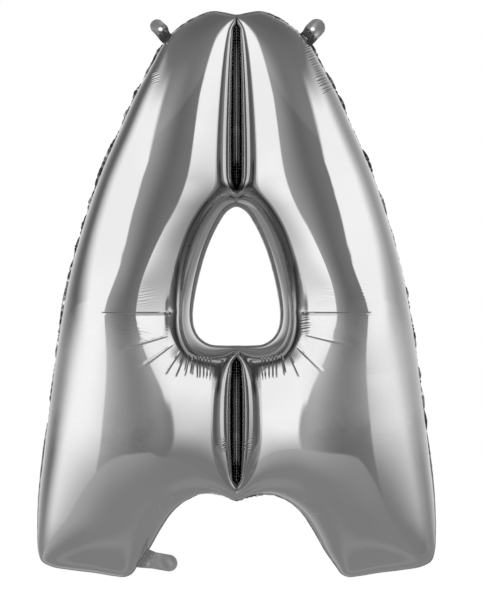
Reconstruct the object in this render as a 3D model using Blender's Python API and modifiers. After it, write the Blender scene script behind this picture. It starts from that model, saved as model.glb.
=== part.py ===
"""Silver foil balloon in the shape of the letter A, inflated, hung by two punched tabs.

Two films, front and back, are sealed together along the outline and round the counter, and
tacked to each other along two slits on the centre line. Air bulges each film out from the
seam plane y = 0. The frame is metres, +X right, +Y away from the viewer, +Z up, and the
origin is the midpoint between the holes of the two hanging tabs.
"""

import math

import bmesh
import bpy
import numpy as np
from mathutils import Matrix, Vector

MM = 0.001

# Outer edge of the seam, right half, seen from the front. Columns: x, z in millimetres.
# The four stretches follow each other clockwise from the notch at the top to the crotch.
CROWN = ((0.0, 22.1), (17.0, 25.2), (33.6, 27.5), (47.0, 25.6), (60.0, 20.2))
FLANK = (
    (82.4, 8.6), (100.5, -5.0), (117.5, -24.0), (133.0, -52.0), (157.0, -96.0),
    (177.8, -142.0), (209.9, -215.2), (235.1, -288.5), (255.7, -361.8), (270.2, -435.1),
    (280.9, -508.3), (289.6, -581.6), (297.7, -654.9), (303.2, -715.0), (304.5, -770.0),
    (302.8, -797.0), (297.5, -812.0),
)
SOLE = (
    (283.0, -820.5), (252.6, -826.0), (216.0, -830.5), (186.0, -835.4), (170.5, -836.5),
    (160.0, -832.0),
)
CROTCH = (
    (151.5, -821.0), (133.6, -795.3), (115.3, -763.3), (97.0, -737.0), (76.0, -720.6),
    (51.1, -712.1), (25.0, -715.2), (0.0, -723.6),
)
COUNTER = (
    (0.0, -271.7), (13.5, -278.0), (27.0, -297.0), (44.3, -334.3), (55.4, -371.0),
    (63.3, -407.6), (66.4, -435.0), (64.4, -455.0), (56.0, -471.0), (41.0, -481.0),
    (20.0, -483.1), (0.0, -483.1),
)

OUTER_SEAM_WIDTH = 5.0 * MM
COUNTER_SEAM_WIDTH = 4.0 * MM
SEAM_LAP = 2.0 * MM
SEAM_THICKNESS = 1.0 * MM
SEAM_GAP = 0.3 * MM

SLIT_HALF_WIDTH = 2.0 * MM
UPPER_SLIT = (7.0 * MM, -244.0 * MM)
LOWER_SLIT = (-497.0 * MM, -699.0 * MM)
SLIT_TIP = 4.0 * MM

FILM_WALL = 1.5 * MM
COLLAR_HEIGHT = 2.0 * MM
ROUNDNESS = 0.95

# Rows of the panel grid, from the top down. Columns: what the row's inner end follows, cells,
# height in millimetres on the flank's rim where the stretch ends, grading towards its ends.
STRETCHES = (
    ("top bridge", 2, 9.0, "even"),
    ("upper slit", 10, -196.0, "even"),
    ("middle bridge", 2, -222.0, "even"),
    ("counter", 12, -515.0, "even"),
    ("lower bridge", 1, -527.0, "even"),
    ("lower slit", 8, -668.0, "even"),
    ("nib bridge", 1, -684.0, "even"),
    ("crotch", 9, None, "finer at the end"),
)
PANEL_COLUMNS = 10
MAP_ROWS = 160
MAP_COLUMNS = 28
MAP_PASSES = 900

TAB_HOLE_X = 116.0 * MM
TAB_HOLE_DIAMETER = 6.0 * MM
TAB_LEAN = math.radians(22.0)
TAB_WIDTH = 21.0 * MM
TAB_ROOT_WIDTH = 15.0 * MM
TAB_BEYOND_HOLE = 13.5 * MM
TAIL_WIDTH = 26.0 * MM
TAIL_ROOT_WIDTH = 33.0 * MM
TAIL_LENGTH = 52.0 * MM
TAIL_DROOP = math.radians(10.0)
TAIL_ROOT_Z = -808.0 * MM
PLATE_THICKNESS = 1.0 * MM
PLATE_ROUND = 0.4 * MM
FOLD_GAP = 0.35 * MM
FOLD_INSET = 0.45 * MM

FOIL = {"base": (0.80, 0.80, 0.81), "roughness": 0.12, "metallic": 1.0}
SEAM_FILM = {"base": (0.74, 0.74, 0.75), "roughness": 0.30, "metallic": 1.0}


def smooth_curve(rows, steps=24):
    """Points of a smooth curve through the rows, and the index of each row among them.

    Both ends lie on x = 0, where the curve's reflection continues it.
    """
    points = np.array(rows) * MM
    mirror = np.array((-1.0, 1.0))
    padded = np.vstack((points[1] * mirror, points, points[-2] * mirror))
    chords = np.sqrt(np.linalg.norm(np.diff(padded, axis=0), axis=1))
    times = np.concatenate(((0.0,), np.cumsum(chords)))
    curve = []
    for k in range(1, len(padded) - 2):
        t = np.linspace(times[k], times[k + 1], steps, endpoint=False)[:, None]
        t0, t1, t2, t3 = times[k - 1 : k + 3]
        p0, p1, p2, p3 = padded[k - 1 : k + 3]
        a1 = (t1 - t) / (t1 - t0) * p0 + (t - t0) / (t1 - t0) * p1
        a2 = (t2 - t) / (t2 - t1) * p1 + (t - t1) / (t2 - t1) * p2
        a3 = (t3 - t) / (t3 - t2) * p2 + (t - t2) / (t3 - t2) * p3
        b1 = (t2 - t) / (t2 - t0) * a1 + (t - t0) / (t2 - t0) * a2
        b2 = (t3 - t) / (t3 - t1) * a2 + (t - t1) / (t3 - t1) * a3
        curve.append((t2 - t) / (t2 - t1) * b1 + (t - t1) / (t2 - t1) * b2)
    curve.append(points[-1:])
    return np.vstack(curve), np.arange(len(rows)) * steps


def body_normals(curve, body_side):
    """Unit normals, pointing into the balloon's body, of a curve from x = 0 back to x = 0.

    body_side is 1 where the body lies right of the direction of travel, and -1 left of it.
    """
    ahead = np.gradient(curve, axis=0)
    ahead[0] = (1.0, 0.0)
    ahead[-1] = (-1.0, 0.0)
    ahead /= np.linalg.norm(ahead, axis=1)[:, None]
    return body_side * np.column_stack((ahead[:, 1], -ahead[:, 0]))


def at_lengths(curve, fractions):
    """Points of a polyline at fractions of its length."""
    lengths = np.concatenate(((0.0,), np.cumsum(np.linalg.norm(np.diff(curve, axis=0), axis=1))))
    wanted = np.asarray(fractions) * lengths[-1]
    return np.column_stack([np.interp(wanted, lengths, curve[:, axis]) for axis in (0, 1)])


class Outline:
    """The half outline: the seam's edge, the films' rim inside it, and the four grid edges."""

    def __init__(self):
        edge, marks = smooth_curve(CROWN + FLANK + SOLE + CROTCH)
        self.edge = edge
        self.rim = edge + body_normals(edge, 1) * OUTER_SEAM_WIDTH
        self.rim[0][0] = 0.0
        self.rim[-1][0] = 0.0
        corners = np.cumsum((len(CROWN), len(FLANK), len(SOLE))) - 1
        self.corners = marks[corners]
        hole, _ = smooth_curve(COUNTER)
        self.hole_edge = hole
        self.hole_rim = hole + body_normals(hole, -1) * COUNTER_SEAM_WIDTH
        self.hole_rim[0][0] = 0.0
        self.hole_rim[-1][0] = 0.0

    def rim_stretch(self, first, last):
        """Rim points between two indices, walked in either direction."""
        return self.rim[first : last + 1] if last > first else self.rim[last : first + 1][::-1]


def slit_edge(ends, fractions):
    """Right edge of a slit, which closes to a point at both ends."""
    top, bottom = ends
    z = top + (bottom - top) * np.asarray(fractions)
    to_tip = np.minimum(top - z, z - bottom)
    x = SLIT_HALF_WIDTH * np.clip(to_tip / SLIT_TIP, 0.0, 1.0)
    return np.column_stack((x, z))


def centre_line(top, bottom, fractions):
    """Points of the centre line between two heights."""
    z = top + (bottom - top) * np.asarray(fractions)
    return np.column_stack((np.zeros_like(z), z))


def inner_stretch(outline, name, fractions):
    """Points of the grid's inner edge along one named stretch."""
    nib = len(outline.rim) - 1
    ends = {
        "top bridge": (outline.rim[0][1], UPPER_SLIT[0]),
        "middle bridge": (UPPER_SLIT[1], outline.hole_rim[0][1]),
        "lower bridge": (outline.hole_rim[-1][1], LOWER_SLIT[0]),
        "nib bridge": (LOWER_SLIT[1], outline.rim[nib][1]),
    }
    if name in ends:
        return centre_line(*ends[name], fractions)
    if name == "upper slit":
        return slit_edge(UPPER_SLIT, fractions)
    if name == "lower slit":
        return slit_edge(LOWER_SLIT, fractions)
    if name == "counter":
        return at_lengths(outline.hole_rim, fractions)
    return at_lengths(outline.rim_stretch(nib, outline.corners[2]), fractions)


def stretch_fractions(cells, grading):
    """Fractions along one stretch, even or with rows that close up towards its end."""
    steps = np.arange(cells + 1) / cells
    return np.sin(steps * math.pi / 2) if grading == "finer at the end" else steps


def flank_fraction(flank, height):
    """Fraction of the flank's length at which it reaches a height."""
    lengths = np.concatenate(((0.0,), np.cumsum(np.linalg.norm(np.diff(flank, axis=0), axis=1))))
    return float(np.interp(-height, -flank[:, 1], lengths) / lengths[-1])


def grid_edges(outline, row_fractions):
    """Inner and outer ends of the grid's rows, top to bottom.

    row_fractions gives, for each stretch, the fractions of its rows.
    """
    flank = outline.rim_stretch(outline.corners[0], outline.corners[1])
    inner = []
    outer = []
    start = 0.0
    for (name, _, height, _), fractions in zip(STRETCHES, row_fractions):
        end = 1.0 if height is None else flank_fraction(flank, height * MM)
        kept = fractions if name == STRETCHES[-1][0] else fractions[:-1]
        inner.append(inner_stretch(outline, name, kept))
        outer.append(at_lengths(flank, start + (end - start) * kept))
        start = end
    return np.vstack(inner), np.vstack(outer)


def blended_grid(inner, outer, crown, sole):
    """Grid of points inside four edges, by transfinite interpolation."""
    rows = np.linspace(0.0, 1.0, len(inner))[:, None, None]
    columns = np.linspace(0.0, 1.0, len(crown))[None, :, None]
    across = (1 - columns) * inner[:, None] + columns * outer[:, None]
    down = (1 - rows) * crown[None] + rows * sole[None]
    corners = (1 - rows) * ((1 - columns) * crown[0] + columns * crown[-1])
    corners = corners + rows * ((1 - columns) * sole[0] + columns * sole[-1])
    return across + down - corners


def relaxed_grid(grid, passes):
    """The grid with its inner points spread evenly, so that no lines cross."""
    grid = grid.copy()
    for _ in range(passes):
        along = (grid[2:, 1:-1] - grid[:-2, 1:-1]) / 2
        across = (grid[1:-1, 2:] - grid[1:-1, :-2]) / 2
        alpha = (across**2).sum(axis=2, keepdims=True)
        gamma = (along**2).sum(axis=2, keepdims=True)
        beta = (along * across).sum(axis=2, keepdims=True)
        cross = (grid[2:, 2:] - grid[2:, :-2] - grid[:-2, 2:] + grid[:-2, :-2]) / 2
        total = alpha * (grid[2:, 1:-1] + grid[:-2, 1:-1])
        total = total + gamma * (grid[1:-1, 2:] + grid[1:-1, :-2]) - beta * cross
        grid[1:-1, 1:-1] = total / (2 * (alpha + gamma))
    return grid


def sampled_grid(grid, row_at, column_at):
    """Points of a grid at fractional row and column numbers, by bilinear interpolation."""
    i = np.minimum(row_at.astype(int), grid.shape[0] - 2)
    j = np.minimum(column_at.astype(int), grid.shape[1] - 2)
    u = (row_at - i)[:, None, None]
    v = (column_at - j)[None, :, None]
    near = (1 - v) * grid[i][:, j] + v * grid[i][:, j + 1]
    far = (1 - v) * grid[i + 1][:, j] + v * grid[i + 1][:, j + 1]
    return (1 - u) * near + u * far


def panel_grid(outline):
    """Grid of plan points of the right half panel, rows from the top down."""
    crown_curve = outline.rim_stretch(0, outline.corners[0])
    sole_curve = outline.rim_stretch(outline.corners[2], outline.corners[1])
    shares = np.array([cells for _, cells, _, _ in STRETCHES]) / sum(row[1] for row in STRETCHES)
    map_cells = np.maximum(np.round(shares * MAP_ROWS).astype(int), 2)
    even = [np.arange(n + 1) / n for n in map_cells]
    map_steps = np.linspace(0.0, 1.0, MAP_COLUMNS + 1)
    edges = grid_edges(outline, even)
    ends = (at_lengths(crown_curve, map_steps), at_lengths(sole_curve, map_steps))
    plan_map = relaxed_grid(blended_grid(*edges, *ends), MAP_PASSES)

    graded = [stretch_fractions(cells, grading) for _, cells, _, grading in STRETCHES]
    columns = (1 - np.cos(np.linspace(0.0, math.pi, PANEL_COLUMNS + 1))) / 2
    starts = np.concatenate(((0,), np.cumsum(map_cells)[:-1]))
    row_at = [start + f[:-1] * n for start, f, n in zip(starts, graded, map_cells)]
    row_at = np.concatenate(row_at + [np.array([float(map_cells.sum())])])
    grid = sampled_grid(plan_map, row_at, columns * MAP_COLUMNS)
    grid[:, 0], grid[:, -1] = grid_edges(outline, graded)
    grid[0] = at_lengths(crown_curve, columns)
    grid[-1] = at_lengths(sole_curve, columns)
    return grid


def sealed_rows():
    """For each row of the grid, whether its inner end is sealed and not on a bridge."""
    sealed = [True]
    for name, cells, _, _ in STRETCHES:
        bridged = "bridge" in name
        sealed += [not bridged] * (cells - 1) + [True]
    return np.array(sealed)


def inflated_depth(grid):
    """How far the film stands off the seam plane over each grid point.

    It is the root of the solution of a membrane's equation, which is nothing along the seal
    and gives a long tube a round section.
    """
    rows, columns = grid.shape[:2]
    points = grid.reshape(-1, 2)
    number = np.arange(rows * columns).reshape(rows, columns)
    a, b = number[:-1, :-1].ravel(), number[:-1, 1:].ravel()
    c, d = number[1:, 1:].ravel(), number[1:, :-1].ravel()
    triangles = np.vstack((np.column_stack((a, b, c)), np.column_stack((a, c, d))))
    corner = points[triangles]
    sides = np.roll(corner, -1, axis=1) - np.roll(corner, 1, axis=1)
    doubled = np.abs(sides[:, 0, 0] * sides[:, 1, 1] - sides[:, 0, 1] * sides[:, 1, 0])
    stiffness = np.zeros((len(points), len(points)))
    load = np.zeros(len(points))
    for k in range(3):
        np.add.at(load, triangles[:, k], doubled / 6)
        for m in range(3):
            value = (sides[:, k] * sides[:, m]).sum(axis=1) / (2 * doubled)
            np.add.at(stiffness, (triangles[:, k], triangles[:, m]), value)
    fixed = np.zeros((rows, columns), dtype=bool)
    fixed[0] = fixed[-1] = True
    fixed[:, -1] = True
    fixed[:, 0] = sealed_rows()
    free = np.flatnonzero(~fixed.ravel())
    height = np.zeros(len(points))
    height[free] = np.linalg.solve(stiffness[np.ix_(free, free)], load[free])
    return ROUNDNESS * np.sqrt(2 * height).reshape(rows, columns)


def principled(name, finish):
    """Plain Principled material."""
    material = bpy.data.materials.new(name)
    material.use_nodes = True
    shader = material.node_tree.nodes["Principled BSDF"]
    shader.inputs["Base Color"].default_value = (*finish["base"], 1.0)
    shader.inputs["Roughness"].default_value = finish["roughness"]
    shader.inputs["Metallic"].default_value = finish["metallic"]
    return material


def add_object(collection, name, mesh, finish, smooth=True):
    """Object of the given mesh with its own material."""
    mesh.materials.append(principled(name + "_film", finish))
    if smooth:
        mesh.shade_smooth()
    item = bpy.data.objects.new(name, mesh)
    collection.objects.link(item)
    return item


def add_solidify(item, thickness, offset):
    """Solidify modifier that gives an open surface its wall."""
    modifier = item.modifiers.new("wall", "SOLIDIFY")
    modifier.thickness = thickness
    modifier.offset = offset
    modifier.use_rim = True
    return modifier


def add_mirror(item):
    """Mirror modifier across the centre plane x = 0."""
    modifier = item.modifiers.new("other_half", "MIRROR")
    modifier.use_axis = (True, False, False)
    modifier.use_clip = True
    modifier.merge_threshold = 0.00005
    return modifier


def add_panel(collection, name, grid, depth, facing):
    """One film, bulged out of the seam plane.

    facing is -1 for the film towards the viewer and 1 for the film behind it.
    """
    rim_y = SEAM_THICKNESS / 2 + SEAM_GAP
    rows, columns = depth.shape
    half = bmesh.new()
    verts = []
    for i in range(rows):
        for j in range(columns):
            x, z = grid[i, j]
            verts.append(half.verts.new((x, facing * (rim_y + COLLAR_HEIGHT + depth[i, j]), z)))
    for i in range(rows - 1):
        for j in range(columns - 1):
            loop = (i * columns + j, i * columns + j + 1, (i + 1) * columns + j + 1)
            loop = loop + ((i + 1) * columns + j,)
            order = loop if facing > 0 else loop[::-1]
            half.faces.new([verts[k] for k in order])
    sealed = [
        edge
        for edge in half.edges
        if edge.is_boundary and max(abs(vert.co.x) for vert in edge.verts) > SLIT_HALF_WIDTH / 100
    ]
    collar = bmesh.ops.extrude_edge_only(half, edges=sealed)
    for vert in collar["geom"]:
        if isinstance(vert, bmesh.types.BMVert):
            vert.co.y = facing * rim_y
    mesh = bpy.data.meshes.new(name)
    half.to_mesh(mesh)
    half.free()
    item = add_object(collection, name, mesh, FOIL)
    add_mirror(item)
    add_solidify(item, FILM_WALL, -1.0)
    return item


def add_band(collection, name, near, far):
    """Flat band between two lines of points of the right half, mirrored to a ring."""
    band = bmesh.new()
    pairs = [
        [band.verts.new((x, 0.0, z)) for x, z in (first, second)]
        for first, second in zip(near, far)
    ]
    for (a, b), (c, d) in zip(pairs, pairs[1:]):
        band.faces.new((a, b, d, c))
    mesh = bpy.data.meshes.new(name)
    band.to_mesh(mesh)
    band.free()
    item = add_object(collection, name, mesh, SEAM_FILM, smooth=False)
    add_mirror(item)
    add_solidify(item, SEAM_THICKNESS, 0.0)
    return item


def seam_line(outline, rim_points, hole):
    """Edge and lapped line of a seam next to the given rim points."""
    rim = outline.hole_rim if hole else outline.rim
    edge = outline.hole_edge if hole else outline.edge
    width = COUNTER_SEAM_WIDTH if hole else OUTER_SEAM_WIDTH
    nearest = np.argmin(np.linalg.norm(rim_points[:, None] - rim[None], axis=2), axis=1)
    outward = (edge[nearest] - rim[nearest]) / width
    outward[0] = outward[-1] = (0.0, 0.0)
    outward[0][1] = math.copysign(1.0, edge[0][1] - rim[0][1])
    outward[-1][1] = math.copysign(1.0, edge[-1][1] - rim[-1][1])
    return rim_points + outward * width, rim_points - outward * SEAM_LAP


def add_seams(collection, outline, grid):
    """The flat welded margins outside the outline and inside the counter."""
    starts = np.concatenate(((0,), np.cumsum([cells for _, cells, _, _ in STRETCHES])))
    names = [name for name, _, _, _ in STRETCHES]
    counter_rows = slice(starts[names.index("counter")], starts[names.index("counter") + 1] + 1)
    crotch_row = starts[names.index("crotch")]
    around = np.vstack((grid[0], grid[1:, -1], grid[-1, -2::-1], grid[-2 : crotch_row - 1 : -1, 0]))
    add_band(collection, "outer_seam", *seam_line(outline, around, hole=False))
    add_band(collection, "counter_seam", *seam_line(outline, grid[counter_rows, 0], hole=True))


def add_slit_weld(collection, name, ends):
    """Flat weld that closes one slit between the two films."""
    top, bottom = ends
    mesh = bpy.data.meshes.new(name)
    bar = bmesh.new()
    bmesh.ops.create_cube(bar, size=1.0)
    width = 2 * (SLIT_HALF_WIDTH + SEAM_LAP)
    height = top - bottom + 2 * SEAM_LAP
    bmesh.ops.scale(bar, vec=(width, SEAM_THICKNESS, height), verts=bar.verts)
    bmesh.ops.translate(bar, vec=(0.0, 0.0, (top + bottom) / 2), verts=bar.verts)
    bar.to_mesh(mesh)
    bar.free()
    return add_object(collection, name, mesh, SEAM_FILM, smooth=False)


def strip_outline(root_width, width, length, lean, round_steps=10):
    """Outline of a film strip: a root along u, a straight body that leans, a round end.

    Coordinates are u along the fold line and v away from it. The root's edge lies just
    behind the fold line, and lean turns the body towards +u.
    """
    ahead = Vector((math.sin(lean), math.cos(lean)))
    aside = Vector((ahead.y, -ahead.x))
    half = width / 2
    centre = ahead * (length - half)
    arc = [
        centre + aside * (half * math.cos(angle)) + ahead * (half * math.sin(angle))
        for angle in (math.pi * k / round_steps for k in range(round_steps + 1))
    ]
    neck = ahead * (length * 0.3)
    points = [Vector((root_width / 2, -FOLD_INSET)), neck + aside * half]
    points += arc + [neck - aside * half, Vector((-root_width / 2, -FOLD_INSET))]
    return points


def add_strip(collection, name, points, hole, placing):
    """Flat film strip of the seam plane, with an optional round hole (centre, diameter)."""
    curve = bpy.data.curves.new(name, "CURVE")
    curve.dimensions = "2D"
    curve.fill_mode = "BOTH"
    curve.extrude = PLATE_THICKNESS / 2
    loops = [points]
    if hole:
        centre, diameter = hole
        corners = 16
        loops.append(
            [
                centre + Vector((math.cos(turn), math.sin(turn))) * (diameter / 2)
                for turn in (2 * math.pi * (k + 0.5) / corners for k in range(corners))
            ]
        )
    for loop in loops:
        spline = curve.splines.new("POLY")
        spline.points.add(len(loop) - 1)
        spline.use_cyclic_u = True
        for target, point in zip(spline.points, loop):
            target.co = (point.x, point.y, 0.0, 1.0)
    drawn = bpy.data.objects.new(name + "_drawn", curve)
    collection.objects.link(drawn)
    mesh = bpy.data.meshes.new_from_object(drawn.evaluated_get(bpy.context.evaluated_depsgraph_get()))
    bpy.data.objects.remove(drawn)
    welded = bmesh.new()
    welded.from_mesh(mesh)
    bmesh.ops.remove_doubles(welded, verts=welded.verts, dist=0.00001)
    bmesh.ops.dissolve_limit(
        welded, angle_limit=math.radians(1.0), verts=welded.verts, edges=welded.edges
    )
    bmesh.ops.triangulate(welded, faces=welded.faces)
    bmesh.ops.recalc_face_normals(welded, faces=welded.faces)
    welded.to_mesh(mesh)
    welded.free()
    item = add_object(collection, name, mesh, SEAM_FILM, smooth=False)
    item.matrix_world = placing
    rounding = item.modifiers.new("rounded_edges", "BEVEL")
    rounding.width = PLATE_ROUND
    rounding.segments = 2
    rounding.limit_method = "ANGLE"
    rounding.angle_limit = math.radians(60.0)
    return item


def root_frame(outline, test):
    """Centre, unit direction and outward normal of a strip's fold line beside the seam's edge.

    test gives, for each point of the edge, how far it is from the wanted place.
    """
    nearest = int(np.argmin([test(x, z) for x, z in outline.edge]))
    outward = Vector(outline.edge[nearest] - outline.rim[nearest]).normalized()
    along = Vector((outward.y, -outward.x))
    return Vector(outline.edge[nearest]) + outward * (FOLD_GAP + FOLD_INSET), along, outward


def strip_placing(centre, along, outward, side):
    """Matrix from a strip's flat drawing to the seam plane, on the left (-1) or right (1)."""
    return Matrix(
        (
            (side * along.x, side * outward.x, 0.0, side * centre.x),
            (0.0, 0.0, -side, 0.0),
            (along.y, outward.y, 0.0, centre.y),
            (0.0, 0.0, 0.0, 1.0),
        )
    )


def add_hanging_tabs(collection, outline):
    """The two punched tabs at the shoulders, as far apart as their holes."""
    lean = Vector((math.sin(TAB_LEAN), math.cos(TAB_LEAN)))
    hole_at = Vector((TAB_HOLE_X, 0.0))
    centre, along, outward = root_frame(
        outline, lambda x, z: abs((x - hole_at.x) * lean.y - z * lean.x) + (z < -0.1)
    )
    reach = hole_at - centre
    flat_hole = Vector((reach.dot(along), reach.dot(outward)))
    turn = math.atan2(flat_hole.x, flat_hole.y)
    length = flat_hole.length + TAB_BEYOND_HOLE
    points = strip_outline(TAB_ROOT_WIDTH, TAB_WIDTH, length, turn)
    for name, side in (("left_hanging_tab", -1), ("right_hanging_tab", 1)):
        placing = strip_placing(centre, along, outward, side)
        add_strip(collection, name, points, (flat_hole, TAB_HOLE_DIAMETER), placing)


def add_inflation_tail(collection, outline):
    """The flat filling tail on the inner side of the left foot."""
    centre, along, outward = root_frame(
        outline, lambda x, z: abs(z - TAIL_ROOT_Z) + (x > 0.2)
    )
    ahead = Vector((-math.cos(TAIL_DROOP), -math.sin(TAIL_DROOP)))
    turn = math.atan2(ahead.dot(along), ahead.dot(outward))
    points = strip_outline(TAIL_ROOT_WIDTH, TAIL_WIDTH, TAIL_LENGTH, turn)
    placing = strip_placing(centre, along, outward, -1)
    add_strip(collection, "inflation_tail", points, None, placing)


def main():
    """Clear the scene and build the balloon."""
    for item in list(bpy.data.objects):
        bpy.data.objects.remove(item)
    collection = bpy.data.collections.new("letter_a_foil_balloon")
    bpy.context.scene.collection.children.link(collection)
    outline = Outline()
    grid = panel_grid(outline)
    depth = inflated_depth(grid)
    add_panel(collection, "front_panel", grid, depth, -1)
    add_panel(collection, "back_panel", grid, depth, 1)
    add_seams(collection, outline, grid)
    add_slit_weld(collection, "upper_slit_weld", UPPER_SLIT)
    add_slit_weld(collection, "lower_slit_weld", LOWER_SLIT)
    add_hanging_tabs(collection, outline)
    add_inflation_tail(collection, outline)


main()
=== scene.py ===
"""Looks of an inflated silver foil letter A.

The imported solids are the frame. Each class holds the sizes of one sub-assembly, builds its
mesh in metres at its place, and dresses it: the two films with their creases, the puckered
seams, the slit welds, the hanging tabs and the filling tail, and the studio they mirror.
"""

import logging
import math
from collections.abc import Iterator
from contextlib import contextmanager
from dataclasses import dataclass, field
from enum import Enum

import bmesh
import bpy
import numpy as np
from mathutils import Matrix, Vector
from mathutils.geometry import delaunay_2d_cdt


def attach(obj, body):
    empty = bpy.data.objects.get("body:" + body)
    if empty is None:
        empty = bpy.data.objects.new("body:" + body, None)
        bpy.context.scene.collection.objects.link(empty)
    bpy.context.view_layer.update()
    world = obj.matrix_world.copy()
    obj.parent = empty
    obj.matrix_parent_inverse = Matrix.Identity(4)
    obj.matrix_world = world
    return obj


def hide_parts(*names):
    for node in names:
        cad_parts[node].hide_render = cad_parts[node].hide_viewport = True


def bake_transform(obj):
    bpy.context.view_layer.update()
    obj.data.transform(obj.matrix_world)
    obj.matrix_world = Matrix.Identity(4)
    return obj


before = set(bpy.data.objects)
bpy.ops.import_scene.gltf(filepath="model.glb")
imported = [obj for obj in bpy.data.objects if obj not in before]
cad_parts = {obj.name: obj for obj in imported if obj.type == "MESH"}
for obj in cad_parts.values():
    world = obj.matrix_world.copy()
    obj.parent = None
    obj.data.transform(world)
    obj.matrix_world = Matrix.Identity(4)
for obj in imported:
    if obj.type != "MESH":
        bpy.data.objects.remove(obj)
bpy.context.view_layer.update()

log = logging.getLogger("foil_letter")

Array = np.ndarray
Socket = bpy.types.NodeSocket
Pair = tuple[float, float]
Triple = tuple[float, float, float]

MM = 0.001
PIXEL = 1.5265 * MM
AXIS_COLUMN = 236.5
X_AXIS = (1.0, 0.0, 0.0)
Y_AXIS = (0.0, 1.0, 0.0)
Z_AXIS = (0.0, 0.0, 1.0)
HOLE_ROW = 29.0
CURVE_STEPS = 24
ON_AXIS = 1e-9
SAME_PLACE = 1e-7
TINY = 1e-12
CROWDING = 1.8

# Outer edge of the seam, right half, seen from the front, clockwise from the notch at the
# top. Columns: x, z, width of the margin that shows, height of its puckers, millimetres.
CROWN = (
    (0.0, 22.1, 3.0, 0.8), (17.0, 25.2, 3.0, 0.6), (33.6, 27.5, 2.6, 0.8),
    (47.0, 25.6, 2.8, 1.2), (60.0, 20.2, 3.2, 1.4),
)
FLANK = (
    (82.4, 8.6, 3.6, 1.6), (100.5, -5.0, 4.2, 1.6), (117.5, -24.0, 4.8, 2.0),
    (133.0, -52.0, 5.0, 2.4), (157.0, -96.0, 5.0, 2.4), (177.8, -142.0, 5.0, 2.4),
    (209.9, -215.2, 5.0, 2.4), (235.1, -288.5, 5.0, 2.4), (255.7, -361.8, 5.0, 2.4),
    (270.2, -435.1, 5.0, 2.4), (280.9, -508.3, 5.0, 2.2), (289.6, -581.6, 4.4, 1.8),
    (297.7, -654.9, 3.0, 1.0), (303.2, -715.0, 1.8, 0.5), (304.5, -770.0, 1.2, 0.3),
    (302.8, -797.0, 1.0, 0.3), (297.5, -812.0, 1.0, 0.3),
)
SOLE = (
    (283.0, -820.5, 1.0, 0.3), (252.6, -826.0, 1.0, 0.3), (216.0, -830.5, 1.0, 0.3),
    (186.0, -835.4, 1.0, 0.3), (170.5, -836.5, 1.1, 0.4), (160.0, -832.0, 1.4, 0.5),
)
CROTCH = (
    (151.5, -821.0, 1.6, 0.6), (133.6, -795.3, 1.8, 0.7), (115.3, -763.3, 2.0, 0.8),
    (97.0, -737.0, 2.2, 1.0), (76.0, -720.6, 2.6, 1.3), (51.1, -712.1, 3.2, 1.8),
    (25.0, -715.2, 4.0, 2.4), (0.0, -723.6, 4.4, 2.0),
)
COUNTER = (
    (0.0, -271.7, 6.0, 0.9), (13.5, -278.0, 6.0, 0.8), (27.0, -297.0, 5.6, 0.4),
    (44.3, -334.3, 5.4, 0.3), (55.4, -371.0, 5.2, 0.3), (63.3, -407.6, 4.8, 0.3),
    (66.4, -435.0, 4.2, 0.3), (64.4, -455.0, 3.6, 0.3), (56.0, -471.0, 3.2, 0.3),
    (41.0, -481.0, 3.0, 0.4), (20.0, -483.1, 3.0, 0.5), (0.0, -483.1, 3.0, 0.6),
)


class Grading(Enum):
    """How the rows of a stretch of the plan grid are spaced."""

    EVEN = "even"
    FROM_SEAL = "closest together at the start, where the film leaves a seal"
    TO_SEAL = "closest together at the end, where the film meets a seal"
    TO_FOLD = "a little closer at the end, towards the fold"


class Facing(Enum):
    """Which way a film faces along y."""

    FRONT = -1
    BACK = 1


class Side(Enum):
    """Left or right half, seen from the front."""

    LEFT = -1
    RIGHT = 1


def on_plan(column: float, row: float) -> Pair:
    """Plan point (x, z) in metres of a pixel of the photograph."""
    return (column - AXIS_COLUMN) * PIXEL, (HOLE_ROW - row) * PIXEL


def smooth_curve(rows: tuple) -> Array:
    """Points of a smooth curve through the rows of a table.

    Both ends lie on x = 0, where the curve's reflection continues it.

    Args:
        rows: points in millimetres, with any further columns carried along.

    Returns:
        One row per point, in metres.
    """
    points = np.array(rows) * MM
    mirror = np.ones(points.shape[1])
    mirror[0] = -1.0
    padded = np.vstack((points[1] * mirror, points, points[-2] * mirror))
    chords = np.sqrt(np.linalg.norm(np.diff(padded[:, :2], axis=0), axis=1))
    times = np.concatenate(((0.0,), np.cumsum(chords)))
    curve = []
    for k in range(1, len(padded) - 2):
        t = np.linspace(times[k], times[k + 1], CURVE_STEPS, endpoint=False)[:, None]
        t0, t1, t2, t3 = times[k - 1 : k + 3]
        p0, p1, p2, p3 = padded[k - 1 : k + 3]
        a1 = (t1 - t) / (t1 - t0) * p0 + (t - t0) / (t1 - t0) * p1
        a2 = (t2 - t) / (t2 - t1) * p1 + (t - t1) / (t2 - t1) * p2
        a3 = (t3 - t) / (t3 - t2) * p2 + (t - t2) / (t3 - t2) * p3
        b1 = (t2 - t) / (t2 - t0) * a1 + (t - t0) / (t2 - t0) * a2
        b2 = (t3 - t) / (t3 - t1) * a2 + (t - t1) / (t3 - t1) * a3
        curve.append((t2 - t) / (t2 - t1) * b1 + (t - t1) / (t2 - t1) * b2)
    curve.append(points[-1:])
    return np.vstack(curve)


def length_of(curve: Array) -> float:
    """Length of a polyline."""
    return float(np.linalg.norm(np.diff(curve, axis=0), axis=1).sum())


def run_along(curve: Array) -> Array:
    """Distance of each point of a polyline from its start, by its first two columns."""
    steps = np.linalg.norm(np.diff(curve[:, :2], axis=0), axis=1)
    return np.concatenate(((0.0,), np.cumsum(steps)))


def at_lengths(curve: Array, fractions: Array) -> Array:
    """Points of a polyline at fractions of its length in its first two columns."""
    lengths = run_along(curve)
    wanted = np.asarray(fractions) * lengths[-1]
    return np.column_stack([np.interp(wanted, lengths, column) for column in curve.T])


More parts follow.
